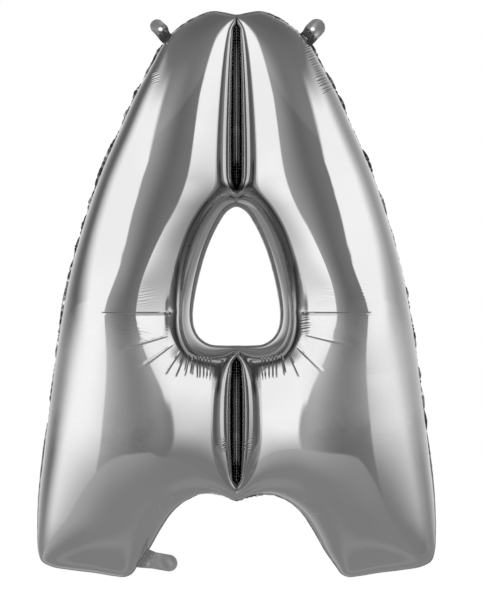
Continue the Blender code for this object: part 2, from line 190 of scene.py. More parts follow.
def smoothstep(value: Array, low: float, high: float) -> Array:
    """Smooth ramp from 0 at low to 1 at high."""
    t = np.clip((value - low) / (high - low), 0.0, 1.0)
    return t * t * (3 - 2 * t)


def hump(value: Array, rise: tuple, fall: tuple) -> Array:
    """Smooth ramp from 0 to 1 over the first pair of values, and back over the second."""
    return smoothstep(value, *rise) * (1 - smoothstep(value, *fall))


def unit(vectors: Array) -> Array:
    """Vectors scaled to length 1."""
    return vectors / np.maximum(np.linalg.norm(vectors, axis=-1, keepdims=True), TINY)


@dataclass
class Loop:
    """One sealed edge of the right half: the seam's outer edge and the film's rim inside it.

    Attributes:
        rows: table of the edge.
        body_side: 1 where the body lies right of the direction of travel, -1 left of it.
        edge: points of the outer edge.
        rim: points where the film leaves the seam.
        puckers: height of the margin's puckers at each point.
    """

    rows: tuple
    body_side: int
    edge: Array = field(init=False)
    rim: Array = field(init=False)
    puckers: Array = field(init=False)

    def __post_init__(self) -> None:
        """Work out the edge and the rim from the table."""
        curve = smooth_curve(self.rows)
        self.edge = curve[:, :2]
        ahead = np.gradient(self.edge, axis=0)
        ahead[0] = (1.0, 0.0)
        ahead[-1] = (-1.0, 0.0)
        ahead = unit(ahead)
        inward = self.body_side * np.column_stack((ahead[:, 1], -ahead[:, 0]))
        self.rim = self.edge + inward * curve[:, 2:3]
        self.rim[(0, -1), 0] = 0.0
        self.puckers = curve[:, 3]

    def mark(self, row: int) -> int:
        """Number of the point at one row of the table."""
        return row * CURVE_STEPS


@dataclass(frozen=True)
class Stretch:
    """A run of the plan grid's rows, named for what the rows' inner ends follow.

    Attributes:
        name: what the inner ends follow.
        cells: rows of faces.
        flank_height: height at which the outer end of its last row lies, or none.
        grading: how its rows are spaced.
        crest: how far the film stands off the seam plane in the crease over a bridge.
    """

    name: str
    cells: int
    flank_height: float | None
    grading: Grading
    crest: float = 0.0

    def fractions(self) -> Array:
        """Fractions of the stretch at which its rows lie."""
        steps = np.arange(self.cells + 1) / self.cells
        if self.grading is Grading.FROM_SEAL:
            return steps**CROWDING
        if self.grading is Grading.TO_SEAL:
            return np.sin(steps * math.pi / 2)
        if self.grading is Grading.TO_FOLD:
            return steps + 0.5 * np.sin(math.pi * steps) / math.pi
        return steps


@dataclass
class Plan:
    """Plan of the right half film: its sealed loops and a grid of points between them.

    Attributes:
        upper_slit: heights of that slit's ends.
        lower_slit: heights of that slit's ends.
        slit_half_width: half the width of a slit.
        slit_tip: length over which it closes at either end.
        columns: cells of the grid from the inner seal to the outer one.
        map_rows: rows of the coarse grid from which the fine one is drawn.
        map_columns: its columns.
        map_passes: how often it is evened out.
        stretches: runs of the grid's rows, from the top down.
        fold_height: height of the fold across the leg.
        outer: the letter's outline.
        counter: the edge of its hole.
        corners: numbers of the outline's points at the shoulder and at both ends of the sole.
        grid: points (rows, columns, x and z).
    """

    upper_slit: Pair = (7.0 * MM, -239.0 * MM)
    lower_slit: Pair = (-505.0 * MM, -692.0 * MM)
    slit_half_width: float = 2.4 * MM
    slit_tip: float = 5.0 * MM
    columns: int = 144
    map_rows: int = 160
    map_columns: int = 28
    map_passes: int = 900
    stretches: tuple[Stretch, ...] = (
        Stretch("top bridge", 8, 9.0 * MM, Grading.FROM_SEAL, 1.5 * MM),
        Stretch("upper slit", 72, -196.0 * MM, Grading.EVEN),
        Stretch("middle bridge", 8, -222.0 * MM, Grading.EVEN, 18.0 * MM),
        Stretch("counter above fold", 58, -437.0 * MM, Grading.TO_FOLD),
        Stretch("counter below fold", 52, -515.0 * MM, Grading.EVEN),
        Stretch("lower bridge", 6, -527.0 * MM, Grading.EVEN, 13.0 * MM),
        Stretch("lower slit", 62, -668.0 * MM, Grading.EVEN),
        Stretch("nib bridge", 6, -684.0 * MM, Grading.EVEN, 13.0 * MM),
        Stretch("crotch", 52, None, Grading.TO_SEAL),
    )
    fold_height: float = -432.0 * MM
    outer: Loop = field(init=False)
    counter: Loop = field(init=False)
    corners: list[int] = field(init=False)
    grid: Array = field(init=False)

    def __post_init__(self) -> None:
        """Work out the loops and the grid."""
        self.outer = Loop(CROWN + FLANK + SOLE + CROTCH, 1)
        self.counter = Loop(COUNTER, -1)
        last_rows = np.cumsum((len(CROWN), len(FLANK), len(SOLE))) - 1
        self.corners = [self.outer.mark(row) for row in last_rows]
        self.grid = self.fine_grid()

    def row_of(self, name: str) -> int:
        """Number of the row where a named stretch starts."""
        names = [stretch.name for stretch in self.stretches]
        return sum(stretch.cells for stretch in self.stretches[: names.index(name)])

    def crests(self) -> Array:
        """For each row, how far its inner end stands off the seam plane."""
        heights = [
            stretch.crest * np.sin(math.pi * stretch.fractions()[:-1])
            for stretch in self.stretches
        ]
        return np.concatenate((*heights, (0.0,)))

    def rim_stretch(self, first: int, last: int) -> Array:
        """Rim points between two corners, walked in either direction."""
        rim = self.outer.rim
        return rim[first : last + 1] if last > first else rim[last : first + 1][::-1]

    def slit_edge(self, ends: Pair, fractions: Array) -> Array:
        """Right edge of a slit, which closes to a point at both ends."""
        top, bottom = ends
        z = top + (bottom - top) * fractions
        to_tip = np.clip(np.minimum(top - z, z - bottom) / self.slit_tip, 0.0, 1.0)
        return np.column_stack((self.slit_half_width * np.sqrt(to_tip), z))

    def inner_points(self, name: str, fractions: Array) -> Array:
        """Points of the grid's inner edge along one named stretch."""
        outer, hole = self.outer.rim, self.counter.rim
        ends = {
            "top bridge": (outer[0][1], self.upper_slit[0]),
            "middle bridge": (self.upper_slit[1], hole[0][1]),
            "lower bridge": (hole[-1][1], self.lower_slit[0]),
            "nib bridge": (self.lower_slit[1], outer[-1][1]),
        }
        if name in ends:
            top, bottom = ends[name]
            z = top + (bottom - top) * fractions
            return np.column_stack((np.zeros_like(z), z))
        if name == "upper slit":
            return self.slit_edge(self.upper_slit, fractions)
        if name == "lower slit":
            return self.slit_edge(self.lower_slit, fractions)
        if name.startswith("counter"):
            falling = hole[: len(hole) * 3 // 4]
            at_fold = self.fraction_at(falling, self.fold_height)
            split = at_fold * length_of(falling) / length_of(hole)
            low, high = (0.0, split) if name.endswith("above fold") else (split, 1.0)
            return at_lengths(hole, low + (high - low) * fractions)
        return at_lengths(self.rim_stretch(len(outer) - 1, self.corners[2]), fractions)

    @staticmethod
    def fraction_at(curve: Array, height: float) -> float:
        """Fraction of a falling curve's length at which it reaches a height."""
        lengths = run_along(curve)
        return float(np.interp(-height, -curve[:, 1], lengths) / lengths[-1])

    def side_edges(self, row_fractions: list[Array]) -> tuple[Array, Array]:
        """Inner and outer ends of the grid's rows, top to bottom."""
        flank = self.rim_stretch(self.corners[0], self.corners[1])
        inner, outer, start = [], [], 0.0
        for stretch, fractions in zip(self.stretches, row_fractions):
            height = stretch.flank_height
            end = 1.0 if height is None else self.fraction_at(flank, height)
            kept = fractions if stretch is self.stretches[-1] else fractions[:-1]
            inner.append(self.inner_points(stretch.name, kept))
            outer.append(at_lengths(flank, start + (end - start) * kept))
            start = end
        return np.vstack(inner), np.vstack(outer)

    def fine_grid(self) -> Array:
        """Grid of plan points (rows, columns, x and z) of the right half."""
        crown = self.rim_stretch(0, self.corners[0])
        sole = self.rim_stretch(self.corners[2], self.corners[1])
        total = sum(stretch.cells for stretch in self.stretches)
        cells = [max(round(s.cells / total * self.map_rows), 2) for s in self.stretches]
        steps = np.linspace(0.0, 1.0, self.map_columns + 1)
        inner, outer = self.side_edges([np.arange(n + 1) / n for n in cells])
        coarse = blended(inner, outer, at_lengths(crown, steps), at_lengths(sole, steps))
        coarse = relaxed(coarse, self.map_passes)

        graded = [stretch.fractions() for stretch in self.stretches]
        across = (1 - np.cos(np.linspace(0.0, math.pi, self.columns + 1))) / 2
        starts = np.concatenate(((0,), np.cumsum(cells)[:-1]))
        rows = [start + f[:-1] * n for start, f, n in zip(starts, graded, cells)]
        rows = np.concatenate(rows + [np.array([float(sum(cells))])])
        grid = sampled(coarse, rows, across * self.map_columns)
        grid[:, 0], grid[:, -1] = self.side_edges(graded)
        grid[0] = at_lengths(crown, across)
        grid[-1] = at_lengths(sole, across)
        return grid


def blended(inner: Array, outer: Array, crown: Array, sole: Array) -> Array:
    """Grid of points inside four edges, by transfinite interpolation."""
    rows = np.linspace(0.0, 1.0, len(inner))[:, None, None]
    columns = np.linspace(0.0, 1.0, len(crown))[None, :, None]
    across = (1 - columns) * inner[:, None] + columns * outer[:, None]
    down = (1 - rows) * crown[None] + rows * sole[None]
    corners = (1 - rows) * ((1 - columns) * crown[0] + columns * crown[-1])
    corners = corners + rows * ((1 - columns) * sole[0] + columns * sole[-1])
    return across + down - corners


def relaxed(grid: Array, passes: int) -> Array:
    """The grid with its inner points spread evenly, so that no lines cross."""
    grid = grid.copy()
    for _ in range(passes):
        along = (grid[2:, 1:-1] - grid[:-2, 1:-1]) / 2
        across = (grid[1:-1, 2:] - grid[1:-1, :-2]) / 2
        alpha = (across**2).sum(axis=2, keepdims=True)
        gamma = (along**2).sum(axis=2, keepdims=True)
        beta = (along * across).sum(axis=2, keepdims=True)
        cross = (grid[2:, 2:] - grid[2:, :-2] - grid[:-2, 2:] + grid[:-2, :-2]) / 2
        total = alpha * (grid[2:, 1:-1] + grid[:-2, 1:-1])
        total = total + gamma * (grid[1:-1, 2:] + grid[1:-1, :-2]) - beta * cross
        grid[1:-1, 1:-1] = total / (2 * (alpha + gamma))
    return grid


def sampled(grid: Array, row_at: Array, column_at: Array) -> Array:
    """Points of a grid at fractional row and column numbers, by bilinear interpolation."""
    i = np.minimum(row_at.astype(int), grid.shape[0] - 2)
    j = np.minimum(column_at.astype(int), grid.shape[1] - 2)
    u = (row_at - i)[:, None, None]
    v = (column_at - j)[None, :, None]
    near = (1 - v) * grid[i][:, j] + v * grid[i][:, j + 1]
    far = (1 - v) * grid[i + 1][:, j] + v * grid[i + 1][:, j + 1]
    return (1 - u) * near + u * far


@dataclass
class Membrane:
    """How far inflated film stands off the seam plane over each point of a plan grid.

    The depth is the root of the solution of a membrane's equation, which is nothing along
    the seals and gives a long tube a round section.

    Attributes:
        plan: the plan with its grid.
        roundness: depth of a long tube's section against that of a circle.
    """

    plan: Plan
    roundness: float = 0.95

    def stencils(self) -> tuple[Array, Array]:
        """Coupling of each grid point to its nine neighbours, and the load on it."""
        grid = self.plan.grid
        rows, columns = grid.shape[:2]
        coupling = np.zeros((rows, columns, 3, 3))
        load = np.zeros((rows, columns))
        i, j = np.meshgrid(np.arange(rows - 1), np.arange(columns - 1), indexing="ij")
        a, b = np.array((i, j)), np.array((i, j + 1))
        c, d = np.array((i + 1, j + 1)), np.array((i + 1, j))
        for triangle in ((a, b, c), (a, c, d), (a, b, d), (b, c, d)):
            corner = [grid[tuple(k)] for k in triangle]
            sides = [corner[(k + 1) % 3] - corner[(k + 2) % 3] for k in range(3)]
            doubled = np.abs(
                sides[0][..., 0] * sides[1][..., 1] - sides[0][..., 1] * sides[1][..., 0]
            )
            for k in range(3):
                np.add.at(load, tuple(triangle[k]), doubled / 12)
                for m in range(3):
                    value = (sides[k] * sides[m]).sum(axis=-1) / (4 * doubled)
                    offset = triangle[m] - triangle[k] + 1
                    np.add.at(coupling, (*triangle[k], *offset), value)
        return coupling, load

    def solve(self) -> Array:
        """Depth of the film over each grid point, solved row by row."""
        coupling, load = self.stencils()
        rows, columns = load.shape
        fixed = np.ones((rows, columns), dtype=bool)
        fixed[1:-1, 1:-1] = False
        coupling[fixed] = 0.0
        coupling[fixed, 1, 1] = 1.0
        load[fixed] = 0.0
        load[:, 0] = (self.plan.crests() / self.roundness) ** 2 / 2
        carried, partial = [], []
        for i in range(rows):
            blocks = [self.block(coupling[i, :, step]) for step in range(3)]
            middle, right = blocks[1], load[i]
            if i:
                middle = middle - blocks[0] @ carried[-1]
                right = right - blocks[0] @ partial[-1]
            solved = np.linalg.solve(middle, np.column_stack((blocks[2], right)))
            carried.append(solved[:, :-1])
            partial.append(solved[:, -1])
        height = np.zeros((rows, columns))
        height[-1] = partial[-1]
        for i in range(rows - 2, -1, -1):
            height[i] = partial[i] - carried[i] @ height[i + 1]
        return self.roundness * np.sqrt(2 * np.maximum(height, 0.0))

    @staticmethod
    def block(values: Array) -> Array:
        """Square matrix with three values a row beside its diagonal."""
        size = len(values)
        matrix = np.diag(values[:, 1])
        matrix[np.arange(1, size), np.arange(size - 1)] = values[1:, 0]
        matrix[np.arange(size - 1), np.arange(1, size)] = values[:-1, 2]
        return matrix


class Signal:
    """An output socket with arithmetic, so that shader maths reads as an expression."""

    def __init__(self, graph: "Graph", socket: Socket) -> None:
        """Wrap one output socket of a graph."""
        self.graph = graph
        self.socket = socket

    def __add__(self, other: "Signal | float") -> "Signal":
        """Sum."""
        return self.graph.math("ADD", self, other)

    __radd__ = __add__

    def __sub__(self, other: "Signal | float") -> "Signal":
        """Difference."""
        return self.graph.math("SUBTRACT", self, other)

    def __rsub__(self, other: float) -> "Signal":
        """Difference from a number."""
        return self.graph.math("SUBTRACT", other, self)

    def __mul__(self, other: "Signal | float") -> "Signal":
        """Product."""
        return self.graph.math("MULTIPLY", self, other)

    __rmul__ = __mul__

    def __truediv__(self, other: "Signal | float") -> "Signal":
        """Quotient."""
        return self.graph.math("DIVIDE", self, other)

    def __neg__(self) -> "Signal":
        """Opposite."""
        return self.graph.math("MULTIPLY", self, -1.0)

    def __abs__(self) -> "Signal":
        """Size without its sign."""
        return self.graph.math("ABSOLUTE", self)


class Graph:
    """Builds a node tree."""

    def __init__(self, tree: bpy.types.NodeTree) -> None:
        """Work on one tree."""
        self.tree = tree

    def feed(self, socket: Socket, value: object) -> None:
        """Link a signal or a socket to an input, or set the input's value.

        Args:
            socket: the input.
            value: a Signal, an output socket, a number, or numbers.
        """
        if isinstance(value, Signal):
            self.tree.links.new(value.socket, socket)
        elif isinstance(value, Socket):
            self.tree.links.new(value, socket)
        elif isinstance(value, tuple) and socket.type == "RGBA" and len(value) == 3:
            socket.default_value = (*value, 1.0)
        else:
            socket.default_value = value

    def node(
        self, kind: str, settings: dict | None = None, inputs: dict | None = None
    ) -> bpy.types.Node:
        """Add a node.

        Args:
            kind: the node's type.
            settings: its own properties, set first.
            inputs: values or links by the input's name or number.

        Returns:
            The node.
        """
        made = self.tree.nodes.new(kind)
        for name, value in (settings or {}).items():
            setattr(made, name, value)
        for key, value in (inputs or {}).items():
            self.feed(made.inputs[key], value)
        return made

    def math(self, operation: str, *values: "Signal | float") -> Signal:
        """Result of a Math node."""
        made = self.node("ShaderNodeMath", {"operation": operation}, dict(enumerate(values)))
        return Signal(self, made.outputs[0])

    def smooth(self, value: Signal, low: float, high: float) -> Signal:
        """Smooth ramp from 0 at low to 1 at high."""
        made = self.node(
            "ShaderNodeMapRange",
            {"interpolation_type": "SMOOTHSTEP", "clamp": False},
            {"Value": value, "From Min": low, "From Max": high},
        )
        return Signal(self, made.outputs["Result"])

    def noise(self, place: Socket, scale: float, detail: float) -> Signal:
        """Noise over a place."""
        made = self.node(
            "ShaderNodeTexNoise", inputs={"Vector": place, "Scale": scale, "Detail": detail}
        )
        return Signal(self, made.outputs["Fac"])

    def along(self, place: Socket, ahead: Triple) -> Signal:
        """How far a place lies along a direction."""
        made = self.node(
            "ShaderNodeVectorMath", {"operation": "DOT_PRODUCT"}, {0: place, 1: ahead}
        )
        return Signal(self, made.outputs["Value"])

    def hump(self, value: Signal, rise: tuple, fall: tuple) -> Signal:
        """Smooth ramp from 0 to 1 over the first pair of values, and back over the second."""
        return self.smooth(value, *rise) * self.smooth(value, *fall[::-1])

    def held(self, value: Signal, low: float, high: float) -> Signal:
        """The value, no lower than low and no higher than high."""
        return self.math("MINIMUM", self.math("MAXIMUM", value, low), high)

    def ramp(self, value: Signal, low: float, high: float) -> Signal:
        """Straight ramp from 0 at low to 1 at high."""
        share = (value - low) * (1 / (high - low))
        return self.math("MAXIMUM", self.math("MINIMUM", share, 1.0), 0.0)

    def curve(self, value: Signal, points: list[Pair]) -> Signal:
        """Result of a Float Curve node with straight runs between its points."""
        made = self.node("ShaderNodeFloatCurve", inputs={"Value": value})
        line = made.mapping.curves[0]
        for _ in points[2:]:
            line.points.new(0.5, 0.5)
        for point, (at, level) in zip(line.points, points):
            point.location = (at, level)
            point.handle_type = "VECTOR"
        made.mapping.update()
        return Signal(self, made.outputs["Value"])

    def oval(
        self, place: Socket, start: Pair, end: Pair, width: float
    ) -> tuple[Signal, Signal]:
        """Frame of the line between two pixels of the photograph, and a cone over it.

        Args:
            place: the place, in metres.
            start: column and row where the line starts.
            end: column and row where it ends.
            width: how far the cone reaches either side of the line, in metres.

        Returns:
            The way along the line, -1 to 1, and the cone's height, 1 in the middle.
        """
        x0, z0 = on_plan(*start)
        x1, z1 = on_plan(*end)
        half = ((x1 - x0) / 2, (z1 - z0) / 2)
        square = half[0] ** 2 + half[1] ** 2
        ahead = Vector((half[0], 0.0, half[1])) / square
        across = Vector((half[1], 0.0, -half[0])) / (math.sqrt(square) * width)
        middle = Vector(((x0 + x1) / 2, 0.0, (z0 + z1) / 2))
        way = self.along(place, ahead) - ahead.dot(middle)
        aside = self.along(place, across) - across.dot(middle)
        off = self.math("SQRT", way * way + aside * aside)
        return way, self.math("MAXIMUM", 1 - off, 0.0)

    def mix(self, share: Signal, first: object, second: object) -> Signal:
        """Mixture of two colours, which are this node's inputs 6 and 7 and its output 2."""
        made = self.node("ShaderNodeMix", {"data_type": "RGBA"}, {0: share, 6: first, 7: second})
        return Signal(self, made.outputs[2])

    def surface(self, share: Signal, first: bpy.types.Node, second: bpy.types.Node) -> None:
        """End a material with a mixture of two shaders.

        Args:
            share: how much of the second one shows, 0 to 1.
            first: one shader.
            second: the other.
        """
        mixed = self.node(
            "ShaderNodeMixShader", inputs={0: share, 1: first.outputs[0], 2: second.outputs[0]}
        )
        end = self.tree.nodes["Material Output"]
        self.feed(end.inputs["Surface"], mixed.outputs["Shader"])


@dataclass(frozen=True)
class Crease:
    """A fine crease between two pixels of the photograph.

    Attributes:
        start: column and row of one end.
        end: column and row of the other end.
        depth: how deep it is, in millimetres; a ridge's is negative.
        width: half its width in the middle, in millimetres.
    """

    start: Pair
    end: Pair
    depth: float = 0.40
    width: float = 1.5

    def height(self, graph: Graph, place: Socket) -> Signal:
        """Height of the film over it, in metres."""
        _, cone = graph.oval(place, self.start, self.end, self.width * MM)
        return cone * (-self.depth * MM)


@dataclass(frozen=True)
class Hatch:
    """A row of short parallel puckers along a line between two pixels of the photograph.

    Attributes:
        start: column and row where the row of puckers starts.
        end: column and row where it ends.
        reach: how far each pucker reaches either side of the line, in millimetres.
        spacing: distance between puckers, in millimetres.
        depth: how deep they are, in millimetres.
        sway: how often their spacing varies, against the number of puckers.
    """

    start: Pair
    end: Pair
    reach: float
    spacing: float
    depth: float
    sway: float = 0.37

    def height(self, graph: Graph, place: Socket) -> Signal:
        """Height of the film over it, in metres."""
        along, cone = graph.oval(place, self.start, self.end, self.reach * MM)
        length = math.dist(on_plan(*self.start), on_plan(*self.end))
        turns = math.pi * length / (self.spacing * MM)
        sway = graph.math("SINE", along * (self.sway * turns))
        return graph.math("SINE", along * turns + sway) * cone * (self.depth * MM)


@dataclass(frozen=True)
class CounterFan:
    """Pleats that spread from the counter's lower corners.

    Attributes:
        corner: column and row of the point they spread from, on the left.
        radius: distance from it at which their ways round it are measured, in millimetres.
        left: ways of the left leg's pleats, from beneath the counter outwards.
        right: ways of the right leg's pleats.
        width: half a pleat's width there, in millimetres.
        depth: how deep they are, in millimetres.
        ways: lowest and highest way that is looked at.
        start: distances from the corner over which they begin, in millimetres.
        reach: distance at which those beneath the counter end, in millimetres.
        run_out: length over which they end, in millimetres.
        longer: how much farther the outermost ones go, in millimetres.
        widest: angle from straight down at which those lie, in radians.
        clear: height beneath the corner over which they begin, in millimetres.
    """

    corner: Pair = (196.0, 328.0)
    radius: float = 30.0
    left: tuple[float, ...] = (-23, -18, -13, -7.6, -3.7, 2.1, 6.7, 11.8, 17.5, 28.6, 39.4)
    right: tuple[float, ...] = (-23, -18.7, -13, -7.4, -2, 4.7, 12.8, 24.3, 40.8)
    width: float = 1.3
    depth: float = 0.8
    ways: Pair = (-30.0, 50.0)
    start: Pair = (38.0, 52.0)
    reach: float = 80.0
    run_out: float = 18.0
    longer: float = 38.0
    widest: float = 1.7
    clear: float = 6.0

    def profile(self, graph: Graph, way: Signal, pleats: tuple[float, ...]) -> Signal:
        """How deep the pleats are at a way round the corner, 0 to 1.

        Args:
            graph: the material's graph.
            way: the way round the corner.
            pleats: ways at which the pleats lie.
        """
        low, high = self.ways
        points = [(0.0, 0.0)]
        for pleat in pleats:
            for at, deep in ((pleat - self.width, 0.0), (pleat, 1.0), (pleat + self.width, 0.0)):
                points.append(((at - low) / (high - low), deep))
        points.append((1.0, 0.0))
        return graph.curve(graph.ramp(way, low * MM, high * MM), points)

    def height(self, graph: Graph, place: Socket) -> Signal:
        """Height of the film over them, in metres."""
        x, z = graph.along(place, X_AXIS), graph.along(place, Z_AXIS)
        corner_x, corner_z = on_plan(*self.corner)
        off = abs(x) + corner_x
        down = corner_z - z
        out = graph.math("MAXIMUM", off, 0.0)
        angle = graph.math("ARCTAN2", out, down)
        way = angle * (self.radius * MM) + graph.math("MINIMUM", off, 0.0)
        left = graph.math("LESS_THAN", x, 0.0)
        on_left = self.profile(graph, way, self.left) * left
        deep = on_left + self.profile(graph, way, self.right) * (1 - left)
        distance = graph.math("SQRT", out * out + down * down)
        ended = distance - angle * angle * (self.longer / self.widest * MM)
        deep = deep * graph.smooth(distance, self.start[0] * MM, self.start[1] * MM)
        deep = deep * graph.smooth(ended, self.reach * MM, (self.reach - self.run_out) * MM)
        return deep * graph.ramp(down, 0.0, self.clear * MM) * (-self.depth * MM)


@dataclass(frozen=True)
class LegFold:
    """The sharp fold across each leg beside the counter.

    Attributes:
        row: the photograph's row on which its edge lies.
        above: how far its short slope reaches above the edge, in millimetres.
        below: how far its long slope reaches below, in millimetres.
        step: how high the edge stands, in millimetres.
        inner: distances from the axis over which it begins, in millimetres.
        outer: distances from the axis over which it ends, in millimetres.
    """

    row: float = 312.6
    above: float = 2.0
    below: float = 4.0
    step: float = 1.2
    inner: Pair = (97.0, 108.0)
    outer: Pair = (207.0, 190.0)

    def height(self, graph: Graph, place: Socket) -> Signal:
        """Height of the film over it, in metres."""
        off = graph.along(place, Z_AXIS) - on_plan(AXIS_COLUMN, self.row)[1]
        above, below = 1 / (self.above * MM), -1 / (self.below * MM)
        near = graph.math("MAXIMUM", off * above, off * below)
        across = abs(graph.along(place, X_AXIS))
        inside = graph.smooth(across, self.inner[0] * MM, self.inner[1] * MM)
        inside = inside * graph.smooth(across, self.outer[0] * MM, self.outer[1] * MM)
        return graph.math("MAXIMUM", 1 - near, 0.0) * inside * (self.step * MM)


@dataclass(frozen=True)
class LegValley:
    """The shallow valley across a leg where it bends, with the fold along its bottom.

    Attributes:
        height: height of the fold.
        depth: how far the film is drawn in there.
        above: how soon the valley runs out above the fold.
        below: how soon it runs out below.
        inner: distances from the axis over which it deepens, beside the counter.
        outer: distances from the axis over which it ends, on the outer flank.
    """

    height: float = -432.0 * MM
    depth: float = 7.0 * MM
    above: float = 55.0 * MM
    below: float = 80.0 * MM
    inner: Pair = (72.0 * MM, 105.0 * MM)
    outer: Pair = (165.0 * MM, 225.0 * MM)

    def draw_in(self, x: Array, z: Array) -> Array:
        """How far each plan point moves inwards, in metres."""
        off = z - self.height
        across = hump(x, self.inner, self.outer)
        run_out = np.exp(-np.abs(off) / np.where(off > 0, self.above, self.below))
        return self.depth * across * run_out


@dataclass(frozen=True)
class Swell:
    """One change of the leg's section beside the counter.

    Attributes:
        amount: how far the film moves.
        down: depths under the holes over which it starts and stops.
        root: distances from the seal over which it grows.
        slack: shares of the section's width over which it goes again.
    """

    amount: float
    down: tuple[float, ...]
    root: Pair
    slack: Pair


@dataclass(frozen=True)
class LegBulge:
    """How the leg beside the counter bulges outwards, steeper towards the counter.

    Attributes:
        shift: how far its sections are moved away from the axis.
        rise: how much farther the film stands out on the counter's side.
        shoulder: how much farther it stands out beside the counter's top.
        inner: distances from the axis over which all of this grows.
    """

    shift: Swell = Swell(
        15.0 * MM, (290.0 * MM, 460.0 * MM, 505.0 * MM, 640.0 * MM), (0.0, 72.0 * MM), (0.36, 0.95)
    )
    rise: Swell = Swell(
        12.0 * MM,
        (262.0 * MM, 388.0 * MM, 460.0 * MM, 605.0 * MM),
        (8.0 * MM, 72.0 * MM),
        (0.30, 1.05),
    )
    shoulder: Swell = Swell(
        1.8 * MM, (232.0 * MM, 272.0 * MM, 272.0 * MM, 345.0 * MM), (0.0, 45.0 * MM), (0.5, 1.0)
    )
    inner: Pair = (20.0 * MM, 75.0 * MM)

    @staticmethod
    def runs(grid: Array) -> tuple[Array, Array]:
        """Distance of each plan point from the inner seal, and its share of the row."""
        steps = np.linalg.norm(np.diff(grid, axis=1), axis=2)
        run = np.concatenate((np.zeros((len(grid), 1)), np.cumsum(steps, axis=1)), axis=1)
        return run, run / run[:, -1:]

    def change(self, grid: Array, swell: Swell) -> Array:
        """How far one change moves each plan point, in metres."""
        run, share = self.runs(grid)
        across = smoothstep(run, *swell.root) * (1 - smoothstep(share, *swell.slack))
        beside = smoothstep(grid[..., 0], *self.inner)
        down = hump(-grid[..., 1], swell.down[:2], swell.down[2:])
        return swell.amount * (across * down * beside)

    def raised(self, grid: Array) -> Array:
        """How much farther each plan point stands out, in metres."""
        return self.change(grid, self.rise) + self.change(grid, self.shoulder)

    def moved(self, grid: Array) -> Array:
        """Plan grid with its sections moved."""
        moved = grid.copy()
        moved[..., 0] += self.change(grid, self.shift)
        return moved


# Creases of the film, pixels of the photograph.
# Columns: start, end, and where they aren't the usual ones depth and half width, millimetres.
CREASES = (
    ((198.0, 17.0), (198.4, 26.0), 0.40, 1.4),
    ((245.0, 10.5), (245.4, 19.0), 0.40, 1.4),
    ((275.0, 14.0), (272.6, 26.0), 0.50, 1.5),
    ((342.0, 85.0), (321.0, 98.0), -0.70, 1.9),
    ((148.0, 521.0), (151.0, 513.0)),
    ((161.7, 508.0), (160.0, 499.0)),
    ((174.0, 500.0), (171.5, 491.5)),
    ((186.5, 494.0), (184.5, 486.0)),
    ((199.0, 491.5), (198.4, 484.0)),
    ((210.0, 490.5), (210.6, 483.0)),
    ((268.9, 492.5), (268.5, 485.0)),
    ((281.6, 496.0), (284.6, 488.0)),
    ((299.0, 500.0), (306.4, 494.0)),
    ((308.0, 508.5), (324.0, 510.5)),
)
# Rows of short puckers, pixels of the photograph.
# Columns: start, end, then reach, spacing and depth in millimetres.
HATCHES = (
    ((151.0, 66.0), (158.0, 88.0), 10.0, 3.4, 0.20),
    ((129.0, 94.0), (131.0, 118.0), 10.0, 3.4, 0.12),
    ((274.0, 20.0), (300.0, 35.0), 10.0, 4.0, 0.26),
    ((305.0, 38.0), (331.0, 84.0), 15.0, 4.2, 0.40),
    ((320.0, 66.0), (336.0, 96.0), 20.0, 4.8, 0.50),
    ((208.0, 206.0), (234.0, 190.0), 9.0, 3.2, 0.50),
    ((240.0, 190.0), (264.0, 206.0), 8.0, 3.2, 0.30),
    ((141.0, 284.0), (145.0, 309.0), 30.0, 4.4, 0.08),
    ((151.0, 312.0), (143.0, 350.0), 38.0, 4.6, 0.09),
    ((345.0, 283.0), (342.0, 308.0), 44.0, 4.6, 0.09),
    ((305.0, 312.0), (309.0, 337.0), 17.0, 4.0, 0.12),
    ((222.0, 434.0), (225.0, 452.0), 8.0, 3.2, 0.34),
    ((248.0, 436.0), (245.0, 452.0), 8.0, 3.2, 0.34),
)
# Each group is one bump over the one before.
FOLDS = (
    (LegFold(), CounterFan()),
    tuple(Crease(*row) for row in CREASES),
    tuple(Hatch(*row) for row in HATCHES),
)


@dataclass(frozen=True)
class FootTaper:
    """How the outer half of the leg thins towards the foot.

    Attributes:
        depth: how far the film is drawn in.
        heights: depths under the holes over which it thins.
        across: distances from the axis over which it starts.
    """

    depth: float = 6.5 * MM
    heights: Pair = (590.0 * MM, 745.0 * MM)
    across: Pair = (118.0 * MM, 185.0 * MM)

    def draw_in(self, x: Array, z: Array) -> Array:
        """How far each plan point moves inwards, in metres."""
        return self.depth * smoothstep(-z, *self.heights) * smoothstep(x, *self.across)


LEG_VALLEY = LegValley()
FOOT_TAPER = FootTaper()
LEG_BULGE = LegBulge()


